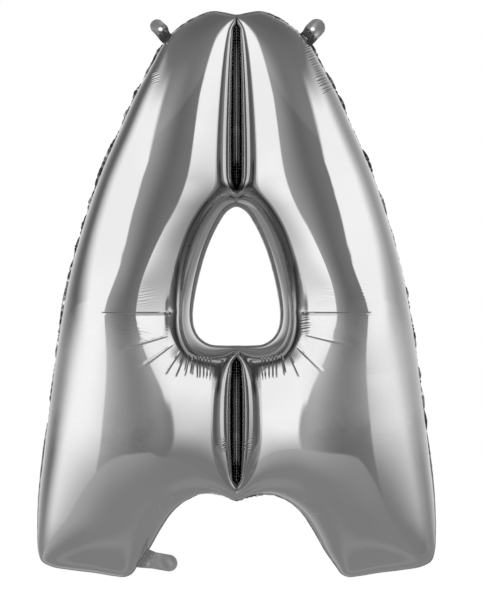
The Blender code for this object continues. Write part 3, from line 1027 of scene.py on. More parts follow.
@dataclass(frozen=True)
class FilmFinish:
    """Metallised film.

    Attributes:
        name: the material's name.
        tint: colour of its mirror.
        gloss: roughness where it is clean, and where it is dull.
        ripple: height of its finest unevenness, in millimetres.
        ripple_size: size of that unevenness, in millimetres.
        creased: whether it has the inflated film's creases, puckers and haze.
        deep: share of the tint that is left where the film lies in the shade.
        dull_size: size of its dull places.
        dull: values of their noise over which the film grows dull.
        tone_size: size of its darker places.
        tone: values of their noise over which the film grows darker.
        darker: share of the tint that is left in them.
        haze: gloss and greatest share of the hazy film below the fold.
        haze_tint: colour of the hazy film.
        hazy_rows: the photograph's rows over which the haze starts and ends.
        hazy_across: distances from the axis over which it starts.
        haze_edge: size and height of the unevenness of its upper and lower ends.
    """

    name: str
    tint: Triple
    gloss: Pair
    ripple: float
    ripple_size: float
    creased: bool = False
    deep: float = 0.42
    dull_size: float = 60.0 * MM
    dull: Pair = (0.42, 0.70)
    tone_size: float = 140.0 * MM
    tone: Pair = (0.35, 0.65)
    darker: float = 0.95
    haze: Pair = (0.42, 0.55)
    haze_tint: Triple = (0.88, 0.88, 0.885)
    hazy_rows: tuple[float, ...] = (292.0, 365.0, 400.0, 458.0)
    hazy_across: Pair = (90.0 * MM, 125.0 * MM)
    haze_edge: Pair = (70.0 * MM, 120.0 * MM)

    def shared(self) -> bpy.types.Material:
        """This finish's one material, made when it is first asked for."""
        return bpy.data.materials.get(self.name) or self.material()

    def dimmed(self, share: float) -> tuple[float, ...]:
        """The tint with a share of its light."""
        return tuple(channel * share for channel in self.tint)

    def material(self) -> bpy.types.Material:
        """Procedural material of this finish."""
        made = bpy.data.materials.new(self.name)
        made.use_nodes = True
        graph = Graph(made.node_tree)
        shader = made.node_tree.nodes["Principled BSDF"]
        shader.inputs["Metallic"].default_value = 1.0
        place = graph.node("ShaderNodeTexCoord").outputs["Object"]
        dull = graph.smooth(graph.noise(place, 1 / self.dull_size, 3.0), *self.dull)
        low, high = self.gloss
        graph.feed(shader.inputs["Roughness"], low + dull * (high - low))
        clear = graph.smooth(graph.noise(place, 1 / self.tone_size, 2.0), *self.tone)
        mixed = graph.mix(clear, self.dimmed(self.darker), self.tint)
        # Painted shade: where a mesh's shade attribute says, the colour falls to the deep share of
        # the tint.
        shaded = graph.node("ShaderNodeAttribute", {"attribute_name": "shade"}).outputs["Fac"]
        mixed = graph.mix(shaded, mixed, self.dimmed(self.deep))
        graph.feed(shader.inputs["Base Color"], mixed)
        height = graph.noise(place, 1 / (self.ripple_size * MM), 2.0) * (self.ripple * MM)
        bump = self.bumped(graph, height)
        for folds in FOLDS if self.creased else ():
            height = sum(fold.height(graph, place) for fold in folds)
            bump = self.bumped(graph, height, {"Normal": bump.outputs["Normal"]})
        graph.feed(shader.inputs["Normal"], bump.outputs["Normal"])
        if self.creased:
            self.hazed(graph, shader, place, bump.outputs["Normal"])
        return made

    def hazed(
        self, graph: Graph, shader: bpy.types.Node, place: Socket, normal: Socket
    ) -> None:
        """Mix a hazier film in where the legs are stretched below their folds.

        Args:
            graph: the material's graph.
            shader: its clear film.
            place: the place, in metres.
            normal: the film's direction with its creases.
        """
        dull = graph.node(
            "ShaderNodeBsdfPrincipled",
            inputs={
                "Metallic": 1.0,
                "Roughness": self.haze[0],
                "Base Color": self.haze_tint,
                "Normal": normal,
            },
        )
        rows = [on_plan(AXIS_COLUMN, row)[1] for row in self.hazy_rows]
        size, depth = self.haze_edge
        uneven = (graph.noise(place, 1 / size, 3.0) - 0.5) * depth
        height = graph.along(place, Z_AXIS) + uneven
        across = abs(graph.along(place, X_AXIS))
        share = graph.hump(height, rows[:2], rows[2:])
        share = share * graph.smooth(across, *self.hazy_across) * self.haze[1]
        graph.surface(share, shader, dull)

    @staticmethod
    def bumped(graph: Graph, height: Signal, under: dict | None = None) -> bpy.types.Node:
        """Bump node of a height in metres, over another one's normal where given."""
        inputs = {"Strength": 1.0, "Distance": 1.0, "Height": height, **(under or {})}
        return graph.node("ShaderNodeBump", inputs=inputs)


BODY_FILM = FilmFinish("body_film", (0.71, 0.71, 0.715), (0.04, 0.08), 0.02, 14.0, creased=True)
SEAM_FILM = FilmFinish("seam_film", (0.68, 0.68, 0.685), (0.08, 0.18), 0.05, 1.8, deep=0.22)
LOOSE_FILM = FilmFinish("strip_film", (0.76, 0.76, 0.765), (0.28, 0.40), 0.05, 9.0, deep=0.20)


def placed(name: str, mesh: bpy.types.Mesh, finish: FilmFinish) -> bpy.types.Object:
    """Object of a mesh in its finish, at the origin."""
    mesh.materials.clear()
    mesh.materials.append(finish.shared())
    mesh.shade_smooth()
    item = bpy.data.objects.new(name, mesh)
    bpy.context.scene.collection.objects.link(item)
    return item


def mesh_of(name: str, points: Array, faces: Array | list) -> bpy.types.Mesh:
    """Mesh of points and faces."""
    mesh = bpy.data.meshes.new(name)
    mesh.from_pydata(points, [], faces)
    mesh.validate()
    mesh.update()
    return mesh


@contextmanager
def edited(mesh: bpy.types.Mesh) -> Iterator[bmesh.types.BMesh]:
    """Open a mesh for changes, which are written back at the end."""
    opened = bmesh.new()
    opened.from_mesh(mesh)
    yield opened
    opened.to_mesh(mesh)
    opened.free()


def walled(item: bpy.types.Object, thickness: float) -> None:
    """Give a sheet a thickness, half to either side."""
    wall = item.modifiers.new("wall", "SOLIDIFY")
    wall.thickness = thickness
    wall.offset = 0.0


def shade(mesh: bpy.types.Mesh, depths: Array) -> None:
    """Store for its material how far each vertex lies in the shade, 0 to 1."""
    mesh.attributes.new("shade", "FLOAT", "POINT").data.foreach_set("value", depths)


@dataclass
class FoilPanel:
    """One film of the envelope, bulged out of the seam plane and creased.

    Attributes:
        plan: the plan with its grid.
        depth: how far the inflated film stands off at each point of the grid.
        facing: which of the two films it is.
        rim_height: where the film starts, off the seam plane.
        collar: height of the wall between there and its rim.
        hollow_tilt: how far the film faces the viewer where the painted shade in the hollow is
            full and ends.
        hollow_reach: distances from the counter's rim over which it starts and stops.
        slit_past: distances into a slit over which it gives way.
        slit_beside: distances from the axis over which it comes back there.
        rim_step: every how many points of the rim are looked at.
    """

    plan: Plan
    depth: Array
    facing: Facing
    rim_height: float = 0.3 * MM
    collar: float = 2.0 * MM
    hollow_tilt: Pair = (0.701, 0.737)
    hollow_reach: tuple[float, ...] = (17.0 * MM, 22.0 * MM, 55.0 * MM, 75.0 * MM)
    slit_past: Pair = (-4.0 * MM, 4.0 * MM)
    slit_beside: Pair = (20.0 * MM, 26.0 * MM)
    rim_step: int = 6

    def half_points(self, side: Side) -> Array:
        """Grid of points of one half film, shaped as its leg bends."""
        grid = LEG_BULGE.moved(self.plan.grid)
        x, z = grid[..., 0], grid[..., 1]
        drawn = LEG_VALLEY.draw_in(x, z) + FOOT_TAPER.draw_in(x, z)
        raised = self.depth + LEG_BULGE.raised(self.plan.grid)
        stands = self.collar + np.maximum(raised - drawn, 0.0)
        y = self.facing.value * (self.rim_height + stands)
        return np.stack((side.value * x, y, z), axis=-1)

    def rings(self) -> list[list[int]]:
        """Closed rings of point numbers along the seals, body always on the same hand."""
        rows, columns = self.depth.shape
        left_start = self.depth.size
        crotch = self.plan.row_of("crotch")
        outer = list(range(columns))
        outer += [i * columns + columns - 1 for i in range(1, rows)]
        outer += [(rows - 1) * columns + j for j in range(columns - 2, -1, -1)]
        outer += [i * columns for i in range(rows - 2, crotch - 1, -1)]
        rings = [outer + [left_start + k for k in outer[-2:0:-1]]]
        for first, last in (
            ("upper slit", "middle bridge"),
            ("counter above fold", "lower bridge"),
            ("lower slit", "nib bridge"),
        ):
            start, end = self.plan.row_of(first), self.plan.row_of(last)
            right = [i * columns for i in range(end, start - 1, -1)]
            rings.append(right + [left_start + k for k in right[-2:0:-1]])
        return rings

    def hollow(self, points: Array, ahead: Array) -> Array:
        """How much painted shade darkens each point in the steep hollow round the counter, 0 to 1.

        Args:
            points: places, in metres.
            ahead: how far the film faces the viewer there, 0 to 1.
        """
        rim = self.plan.counter.rim[:: self.rim_step]
        farthest = self.hollow_reach[-1]
        place = np.column_stack((np.abs(points[:, 0]), points[:, 2]))
        low, high = rim.min(axis=0) - farthest, rim.max(axis=0) + farthest
        near = np.all((place > low) & (place < high), axis=1)
        place = place[near]
        away = np.linalg.norm(place[:, None] - rim[None], axis=2).min(axis=1)
        reached = hump(away, self.hollow_reach[:2], self.hollow_reach[2:])
        top, bottom = self.plan.upper_slit[1], self.plan.lower_slit[0]
        past = np.maximum(place[:, 1] - top, bottom - place[:, 1])
        in_slit = smoothstep(past, *self.slit_past)
        reached = reached * (1 - in_slit * (1 - smoothstep(place[:, 0], *self.slit_beside)))
        depths = np.zeros(len(points))
        # Painted shade: the steeper the film turns from the viewer here, the darker its colour,
        # standing in for the dark reflections of the hollow.
        depths[near] = reached * (1 - smoothstep(ahead[near], *self.hollow_tilt))
        return depths

    def sheets(self) -> list[Array]:
        """Faces of both halves, joined across the bridges."""
        number = np.arange(self.depth.size).reshape(self.depth.shape)
        left = number + self.depth.size
        centred = np.abs(self.plan.grid[:, 0, 0]) < ON_AXIS
        left[centred, 0] = number[centred, 0]
        faces = []
        for sheet, turn in ((number, self.facing.value), (left, -self.facing.value)):
            corners = (sheet[:-1, :-1], sheet[:-1, 1:], sheet[1:, 1:], sheet[1:, :-1])
            faces.append(np.stack(corners, axis=-1).reshape(-1, 4)[:, ::turn])
        return faces

    def collar_wall(self, points: Array) -> tuple[list, list]:
        """Points at the foot of the film's collar, and the faces between them and its rim."""
        feet, walls = [], []
        floor = self.facing.value * self.rim_height
        for ring in self.rings():
            base = len(points) + len(feet)
            feet += [(points[k][0], floor, points[k][2]) for k in ring]
            for k, here in enumerate(ring):
                ahead = (k + 1) % len(ring)
                wall = (ring[ahead], here, base + k, base + ahead)
                walls.append(wall if self.facing is Facing.BACK else wall[::-1])
        return feet, walls

    def mesh(self) -> bpy.types.Mesh:
        """Both halves with their collar, and painted shade in the hollow round the counter."""
        halves = [self.half_points(side).reshape(-1, 3) for side in (Side.RIGHT, Side.LEFT)]
        points = np.vstack(halves)
        feet, walls = self.collar_wall(points)
        name = f"{self.facing.name.lower()}_foil"
        mesh = mesh_of(name, np.vstack((points, feet)), np.vstack((*self.sheets(), walls)))
        with edited(mesh) as film:
            loose = [vert for vert in film.verts if not vert.link_faces]
            bmesh.ops.delete(film, geom=loose, context="VERTS")
        places, normals = np.empty((2, len(mesh.vertices) * 3))
        mesh.vertices.foreach_get("co", places)
        mesh.vertices.foreach_get("normal", normals)
        facing = np.abs(normals.reshape(-1, 3)[:, 1])
        shade(mesh, self.hollow(places.reshape(-1, 3), facing))
        return mesh

    def build(self) -> bpy.types.Object:
        """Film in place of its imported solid."""
        name = self.facing.name.lower()
        item = placed(f"{name}_foil", self.mesh(), BODY_FILM)
        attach(item, "envelope")
        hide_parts(f"{name}_panel")
        return item


@dataclass
class Crumple:
    """Irregular zigzag along a closed seam, as its film puckers, with its gaps and patches of
    painted shade.

    Attributes:
        seed: of its irregularity.
        spacing: mean distance between its bends.
        spread: how much these distances differ.
        heights: lowest and highest of its bends.
        gap_spacing: distance over which the margin tucks in and comes out again.
        gaps: least and greatest share that sticks out, before it is cut to 0 and 1.
        shade_spacing: distance over which its painted shade darkens and clears again.
        shade_from: values over which the painted shade grows.
        seed_steps: what is added to the seed for the gaps and for the painted shade.
    """

    seed: int
    spacing: float = 10.0 * MM
    spread: float = 0.8
    heights: Pair = (0.35, 1.0)
    gap_spacing: float = 18.0 * MM
    gaps: Pair = (-0.3, 1.25)
    shade_spacing: float = 7.0 * MM
    shade_from: Pair = (0.30, 0.60)
    seed_steps: tuple[int, int] = (100, 200)

    def looped(
        self, seed_step: int, spacing: float, limits: Pair, length: float
    ) -> tuple[Array, Array]:
        """Random values at even steps along a closed seam, the first one again at its end.

        Args:
            seed_step: what is added to the seed.
            spacing: rough distance between the values.
            limits: lowest and highest value.
            length: length of the seam.

        Returns:
            Where the values lie, and the values.
        """
        count = max(int(length / spacing), 3)
        values = np.random.default_rng(self.seed + seed_step).uniform(*limits, count)
        return np.linspace(0.0, length, count + 1), np.append(values, values[0])

    def along(self, length: float, run: Array) -> Array:
        """Height of the zigzag, from -1 to 1, at distances along a closed seam."""
        rng = np.random.default_rng(self.seed)
        count = 2 * max(int(length / self.spacing / 2), 2)
        steps = rng.uniform(1 - self.spread, 1 + self.spread, count)
        breaks = np.concatenate(((0.0,), np.cumsum(steps))) * length / steps.sum()
        heights = rng.uniform(*self.heights, count) * np.where(np.arange(count) % 2, 1.0, -1.0)
        return np.interp(run, breaks, np.append(heights, heights[0]))

    def shown(self, length: float, run: Array) -> Array:
        """How much of the margin sticks out, 0 to 1, at distances along a closed seam."""
        breaks, shown = self.looped(self.seed_steps[0], self.gap_spacing, self.gaps, length)
        return np.interp(run, breaks, np.clip(shown, 0.0, 1.0))

    def painted_shade(self, length: float, run: Array) -> Array:
        """How much painted shade darkens the margin, 0 to 1, at distances along a closed seam."""
        step, spacing = self.seed_steps[1], self.shade_spacing
        breaks, painted_shade = self.looped(step, spacing, (0.0, 1.0), length)
        return smoothstep(np.interp(run, breaks, painted_shade), *self.shade_from)


@dataclass
class SeamFin:
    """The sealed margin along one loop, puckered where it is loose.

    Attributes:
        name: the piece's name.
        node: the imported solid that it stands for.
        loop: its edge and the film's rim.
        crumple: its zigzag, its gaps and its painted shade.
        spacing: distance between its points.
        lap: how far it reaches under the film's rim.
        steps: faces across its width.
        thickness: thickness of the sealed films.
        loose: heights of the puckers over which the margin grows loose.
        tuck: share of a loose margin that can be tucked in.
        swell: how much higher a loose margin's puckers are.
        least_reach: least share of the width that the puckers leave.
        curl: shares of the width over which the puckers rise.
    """

    name: str
    node: str
    loop: Loop
    crumple: Crumple
    spacing: float = 1.3 * MM
    lap: float = 1.0 * MM
    steps: int = 4
    thickness: float = 0.35 * MM
    loose: Pair = (0.8 * MM, 1.8 * MM)
    tuck: float = 0.8
    swell: float = 0.5
    least_reach: float = 0.45
    curl: Pair = (0.1, 1.1)

    def strips(self) -> tuple[Array, Array, Array]:
        """Evenly spaced points of the edge, of the rim, and pucker heights, all round."""
        table = np.column_stack((self.loop.edge, self.loop.rim, self.loop.puckers))
        mirrored = table[-2:0:-1] * (-1.0, 1.0, -1.0, 1.0, 1.0)
        closed = np.vstack((table, mirrored, table[:1]))
        length = length_of(closed[:, :2])
        count = int(length / self.spacing)
        even = at_lengths(closed, np.arange(count) / count)
        return even[:, :2], even[:, 2:4], even[:, 4]

    def mesh(self) -> bpy.types.Mesh:
        """Thin band from under the film's rim to the seam's outer edge."""
        edge, rim, puckers = self.strips()
        count = len(edge)
        length = self.spacing * count
        run = np.arange(count) * self.spacing
        loose = smoothstep(puckers, *self.loose)
        outward = unit(edge - rim)
        width = np.linalg.norm(edge - rim, axis=1)
        width = width * (1 - loose * self.tuck * (1 - self.crumple.shown(length, run)))
        rise = puckers * self.crumple.along(length, run) * (1 + self.swell * loose)
        reach = np.sqrt(np.maximum(width**2 - rise**2, (self.least_reach * width) ** 2))
        points = []
        for step in range(self.steps + 1):
            share = step / self.steps
            at = rim + outward * (share * (reach + self.lap) - self.lap)[:, None]
            height = rise * smoothstep(np.full(count, share), *self.curl)
            points.append(np.column_stack((at[:, 0], height, at[:, 1])))
        here = np.arange(count)
        ahead = (here + 1) % count
        ring = np.column_stack((here, ahead, ahead + count, here + count))
        faces = [ring + step * count for step in range(self.steps)]
        mesh = mesh_of(self.name, np.vstack(points), np.vstack(faces))
        # Painted shade: dark patches on the loose margin stand in for the dark reflections of its
        # crumples.
        shade(mesh, np.tile(loose * self.crumple.painted_shade(length, run), self.steps + 1))
        return mesh

    def build(self) -> bpy.types.Object:
        """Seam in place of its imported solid."""
        item = placed(self.name, self.mesh(), SEAM_FILM)
        walled(item, self.thickness)
        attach(item, "envelope")
        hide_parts(self.node)
        return item


class GeometryGraph(Graph):
    """Builds a Geometry Nodes tree with named inputs."""

    def __init__(self, name: str) -> None:
        """Start a tree that takes and gives a geometry."""
        super().__init__(bpy.data.node_groups.new(name, "GeometryNodeTree"))
        face = self.tree.interface
        face.new_socket("Geometry", in_out="INPUT", socket_type="NodeSocketGeometry")
        face.new_socket("Geometry", in_out="OUTPUT", socket_type="NodeSocketGeometry")
        self.given = self.tree.nodes.new("NodeGroupInput")

    def size(self, name: str) -> Socket:
        """Add a named number to the tree's inputs."""
        self.tree.interface.new_socket(name, in_out="INPUT", socket_type="NodeSocketFloat")
        return self.given.outputs[name]

    def finish(self, geometry: Socket, material: bpy.types.Material) -> None:
        """End the tree with its instances realized and its material set."""
        real = self.node("GeometryNodeRealizeInstances", inputs={"Geometry": geometry})
        dressed = self.node(
            "GeometryNodeSetMaterial",
            inputs={"Geometry": real.outputs["Geometry"], "Material": material},
        )
        end = self.tree.nodes.new("NodeGroupOutput")
        self.tree.links.new(dressed.outputs["Geometry"], end.inputs["Geometry"])

    def applied(self, item: bpy.types.Object, sizes: dict[str, float]) -> bpy.types.Mesh:
        """Mesh that the tree makes of an object.

        Args:
            item: the object that the tree works on, removed afterwards.
            sizes: values of the named inputs.

        Returns:
            The plain mesh.
        """
        modifier = item.modifiers.new("made", "NODES")
        modifier.node_group = self.tree
        for socket in self.tree.interface.items_tree:
            if socket.in_out == "INPUT" and socket.name in sizes:
                modifier[socket.identifier] = sizes[socket.name]
        bpy.context.scene.collection.objects.link(item)
        depsgraph = bpy.context.evaluated_depsgraph_get()
        mesh = bpy.data.meshes.new_from_object(item.evaluated_get(depsgraph))
        bpy.data.objects.remove(item)
        return mesh


@dataclass
class SlitWeld:
    """The flat weld down the middle of a slit, with its row of weld dots.

    Attributes:
        name: the piece's name.
        node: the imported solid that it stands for.
        ends: heights of the slit's ends.
        half_width: half the strip's width.
        thickness: the strip's thickness.
        inset: distance of the first and last dot from the slit's ends.
        dot_spacing: distance between dots.
        dot_size: half a dot's width, depth and height.
    """

    name: str
    node: str
    ends: Pair
    half_width: float = 3.2 * MM
    thickness: float = 0.5 * MM
    inset: float = 4.0 * MM
    dot_spacing: float = 4.4 * MM
    dot_size: Triple = (1.0 * MM, 0.5 * MM, 0.8 * MM)

    def dot_tree(self) -> GeometryGraph:
        """Geometry Nodes that set a dot at even steps along a line."""
        graph = GeometryGraph(f"{self.name}_dots")
        spacing, scale = graph.size("Spacing"), graph.size("Dot Scale")
        points = graph.node(
            "GeometryNodeResampleCurve",
            {"mode": "LENGTH"},
            {"Curve": graph.given.outputs["Geometry"], "Length": spacing},
        )
        dot = graph.node("GeometryNodeMeshIcoSphere", inputs={"Radius": 1.0, "Subdivisions": 2})
        shaped = graph.node(
            "GeometryNodeTransform",
            inputs={"Geometry": dot.outputs["Mesh"], "Scale": self.dot_size},
        )
        rounded = graph.node(
            "GeometryNodeSetShadeSmooth", inputs={"Geometry": shaped.outputs["Geometry"]}
        )
        copies = graph.node(
            "GeometryNodeInstanceOnPoints",
            inputs={
                "Points": points.outputs["Curve"],
                "Instance": rounded.outputs["Geometry"],
                "Scale": scale,
            },
        )
        graph.finish(copies.outputs["Instances"], SEAM_FILM.shared())
        return graph

    def mesh(self) -> bpy.types.Mesh:
        """Weld strip and its dots."""
        top, bottom = self.ends
        line = bpy.data.curves.new(f"{self.name}_line", "CURVE")
        line.dimensions = "3D"
        spline = line.splines.new("POLY")
        spline.points.add(1)
        for point, z in zip(spline.points, (top - self.inset, bottom + self.inset)):
            point.co = (0.0, 0.0, z, 1.0)
        drawn = bpy.data.objects.new(line.name, line)
        sizes = {"Spacing": self.dot_spacing, "Dot Scale": 1.0}
        mesh = self.dot_tree().applied(drawn, sizes)
        extent = (2 * self.half_width, self.thickness, top - bottom + self.half_width)
        with edited(mesh) as joined:
            bar = bmesh.ops.create_cube(joined, size=1.0)["verts"]
            bmesh.ops.scale(joined, vec=extent, verts=bar)
            bmesh.ops.translate(joined, vec=(0.0, 0.0, (top + bottom) / 2), verts=bar)
        return mesh

    def build(self) -> bpy.types.Object:
        """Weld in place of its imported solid."""
        item = placed(self.name, self.mesh(), SEAM_FILM)
        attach(item, "envelope")
        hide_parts(self.node)
        return item


@dataclass
class LooseStrip:
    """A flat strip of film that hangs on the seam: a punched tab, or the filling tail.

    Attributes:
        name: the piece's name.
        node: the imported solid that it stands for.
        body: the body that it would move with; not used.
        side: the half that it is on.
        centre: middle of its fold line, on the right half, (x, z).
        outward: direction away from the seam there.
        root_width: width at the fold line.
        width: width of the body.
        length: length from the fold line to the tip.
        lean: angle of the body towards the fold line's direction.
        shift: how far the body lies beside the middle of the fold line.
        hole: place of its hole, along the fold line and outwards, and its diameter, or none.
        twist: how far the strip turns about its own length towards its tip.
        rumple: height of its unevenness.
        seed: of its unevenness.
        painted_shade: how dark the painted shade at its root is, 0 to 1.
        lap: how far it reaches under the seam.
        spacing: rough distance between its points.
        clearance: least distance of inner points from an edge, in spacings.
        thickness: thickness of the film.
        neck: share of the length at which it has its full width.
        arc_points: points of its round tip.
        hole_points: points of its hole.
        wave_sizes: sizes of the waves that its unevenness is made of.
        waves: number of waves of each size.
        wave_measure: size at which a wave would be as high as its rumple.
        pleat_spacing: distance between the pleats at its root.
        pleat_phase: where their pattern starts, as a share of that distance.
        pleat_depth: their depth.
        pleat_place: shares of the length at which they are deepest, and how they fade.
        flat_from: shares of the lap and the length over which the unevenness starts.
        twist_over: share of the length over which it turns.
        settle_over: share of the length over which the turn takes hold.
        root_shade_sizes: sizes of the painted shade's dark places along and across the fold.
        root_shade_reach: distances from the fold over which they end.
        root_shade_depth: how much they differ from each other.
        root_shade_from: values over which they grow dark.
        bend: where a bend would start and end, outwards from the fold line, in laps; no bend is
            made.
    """

    name: str
    node: str
    body: str
    side: Side
    centre: Pair
    outward: Pair
    root_width: float
    width: float
    length: float
    lean: float
    shift: float
    hole: Triple | None
    twist: float
    rumple: float
    seed: int
    painted_shade: float
    lap: float = 5.0 * MM
    spacing: float = 0.9 * MM
    clearance: float = 0.6
    thickness: float = 0.3 * MM
    neck: float = 0.3
    arc_points: int = 19
    hole_points: int = 28
    wave_sizes: tuple[float, ...] = (26 * MM, 13 * MM)
    waves: int = 4
    wave_measure: float = 64.0 * MM
    pleat_spacing: float = 3.2 * MM
    pleat_phase: float = 0.3
    pleat_depth: float = 1.1 * MM
    pleat_place: Pair = (0.12, 0.02)
    flat_from: Pair = (-0.3, 0.2)
    twist_over: float = 0.6
    settle_over: float = 0.15
    root_shade_sizes: Pair = (1.1 * MM, 1.9 * MM)
    root_shade_reach: Pair = (5 * MM, 14 * MM)
    root_shade_depth: float = 0.4
    root_shade_from: Pair = (0.40, 0.75)
    bend: Pair = (-0.5, 0.8)

    def directions(self) -> tuple[Array, Array]:
        """Directions along and across the leaning body in the flat drawing."""
        ahead = np.array((math.sin(self.lean), math.cos(self.lean)))
        return ahead, np.array((ahead[1], -ahead[0]))

    def outline(self) -> Array:
        """Points round the strip in its flat drawing: u along the fold line, v outwards."""
        ahead, aside = self.directions()
        half = self.width / 2
        beside = np.array((self.shift, 0.0))
        tip = ahead * (self.length - half) + beside
        turns = np.linspace(0.0, math.pi, self.arc_points)[:, None]
        arc = tip + aside * half * np.cos(turns) + ahead * half * np.sin(turns)
        neck = ahead * self.length * self.neck + beside
        low, high = self.shift / 2 - self.root_width / 2, self.shift / 2 + self.root_width / 2
        start = [(high, -self.lap), (high, 0.0), neck + aside * half]
        end = [neck - aside * half, (low, 0.0), (low, -self.lap)]
        return np.vstack((start, arc, end))

    def flat_mesh(self) -> tuple[Array, list]:
        """Points and triangles of the flat strip."""
        loop = self.outline()
        closed = np.vstack((loop, loop[:1]))
        count = int(length_of(closed) / self.spacing)
        border = at_lengths(closed, np.arange(count) / count)
        loops = [border]
        if self.hole:
            *at, diameter = self.hole
            turns = np.linspace(0.0, 2 * math.pi, self.hole_points, endpoint=False)[:, None]
            ring = np.hstack((np.cos(turns), np.sin(turns))) * diameter / 2
            loops.append(np.array(at) + ring)
        low, high = border.min(axis=0), border.max(axis=0)
        u, v = np.meshgrid(
            np.arange(low[0], high[0], self.spacing), np.arange(low[1], high[1], self.spacing)
        )
        u[::2] += self.spacing / 2
        inner = np.column_stack((u.ravel(), v.ravel()))
        inner = inner[self.covers(border, inner)]
        for loop in loops:
            gap = np.linalg.norm(inner[:, None] - loop[None], axis=2).min(axis=1)
            inner = inner[gap > self.spacing * self.clearance]
        points = [Vector(point) for point in np.vstack((*loops, inner))]
        edges, start = [], 0
        for loop in loops:
            edges += [(start + k, start + (k + 1) % len(loop)) for k in range(len(loop))]
            start += len(loop)
        places, _, triangles, *_ = delaunay_2d_cdt(points, edges, [], 0, SAME_PLACE)
        flat = np.array([tuple(place) for place in places])
        middles = np.array([flat[list(corners)].mean(axis=0) for corners in triangles])
        kept = self.covers(border, middles)
        if self.hole:
            kept &= ~self.covers(loops[1], middles)
        return flat, [corners for corners, keep in zip(triangles, kept) if keep]

    @staticmethod
    def covers(loop: Array, points: Array) -> Array:
        """Which points lie inside a closed loop."""
        x, y = points[:, :1], points[:, 1:]
        a, b = loop, np.roll(loop, -1, axis=0)
        crosses = (a[:, 1] > y) != (b[:, 1] > y)
        rise = np.where(b[:, 1] == a[:, 1], TINY, b[:, 1] - a[:, 1])
        at = a[:, 0] + (y - a[:, 1]) / rise * (b[:, 0] - a[:, 0])
        return (crosses & (x < at)).sum(axis=1) % 2 == 1

    def unevenness(self, flat: Array) -> Array:
        """Height of the rumpled film off its flat drawing."""
        rng = np.random.default_rng(self.seed)
        height = np.zeros(len(flat))
        for size in self.wave_sizes:
            for _ in range(self.waves):
                turn, phase = rng.uniform(0, 2 * math.pi, 2)
                wave = (flat @ (math.cos(turn), math.sin(turn))) * 2 * math.pi / size
                height += np.sin(wave + phase) * size / self.wave_measure
        pattern = (flat[:, 0] / self.pleat_spacing + self.pleat_phase) % 1.0
        pleats = np.abs(pattern - 0.5) * 2 - 0.5
        middle, fade = self.pleat_place
        root = np.exp(-((flat[:, 1] / self.length - middle) ** 2) / fade)
        start, end = self.flat_from
        settled = smoothstep(flat[:, 1], self.lap * start, self.length * end)
        return self.rumple * height * settled + self.pleat_depth * pleats * root * settled

    def dark(self, flat: Array) -> Array:
        """How dark the painted shade at the root is at points of the flat drawing, 0 to 1."""
        along, out = (flat / self.root_shade_sizes).T
        waves = np.sin(along + self.seed) * np.cos(out)
        root = 1 - smoothstep(flat[:, 1], *self.root_shade_reach)
        return self.painted_shade * smoothstep(root + self.root_shade_depth * waves, *self.root_shade_from)

    def mesh(self) -> bpy.types.Mesh:
        """Rumpled strip at its place."""
        flat, triangles = self.flat_mesh()
        ahead, aside = self.directions()
        off = flat @ aside
        turn = self.twist * smoothstep(flat @ ahead, 0.0, self.length * self.twist_over)
        settled = smoothstep(flat[:, 1], 0.0, self.length * self.settle_over)
        moved = flat + np.outer(off * (np.cos(turn) - 1) * settled, aside)
        height = self.unevenness(flat) * np.cos(turn) + off * np.sin(turn) * settled
        out = np.array(self.outward)
        along = np.array((out[1], -out[0]))
        plan = np.array(self.centre) + np.outer(moved[:, 0], along) + np.outer(moved[:, 1], out)
        points = np.column_stack((self.side.value * plan[:, 0], -height, plan[:, 1]))
        mesh = mesh_of(self.name, points, triangles)
        # Painted shade: the root is darkened in patches, standing in for the dark reflections of
        # its crumpled film.
        shade(mesh, self.dark(flat))
        with edited(mesh) as film:
            bmesh.ops.recalc_face_normals(film, faces=film.faces)
        return mesh

    def build(self) -> bpy.types.Object:
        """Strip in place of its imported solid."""
        item = placed(self.name, self.mesh(), LOOSE_FILM)
        walled(item, self.thickness)
        depsgraph = bpy.context.evaluated_depsgraph_get()
        item.data = bpy.data.meshes.new_from_object(
            item.evaluated_get(depsgraph), preserve_all_data_layers=True, depsgraph=depsgraph
        )
        item.modifiers.clear()
        item.data.shade_smooth()
        out = Vector((self.side.value * self.outward[0], 0.0, self.outward[1]))
        base = Vector((self.side.value * self.centre[0], 0.0, self.centre[1]))
        start, end = (base + out * self.lap * share for share in self.bend)
        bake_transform(item)
        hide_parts(self.node)
        return item


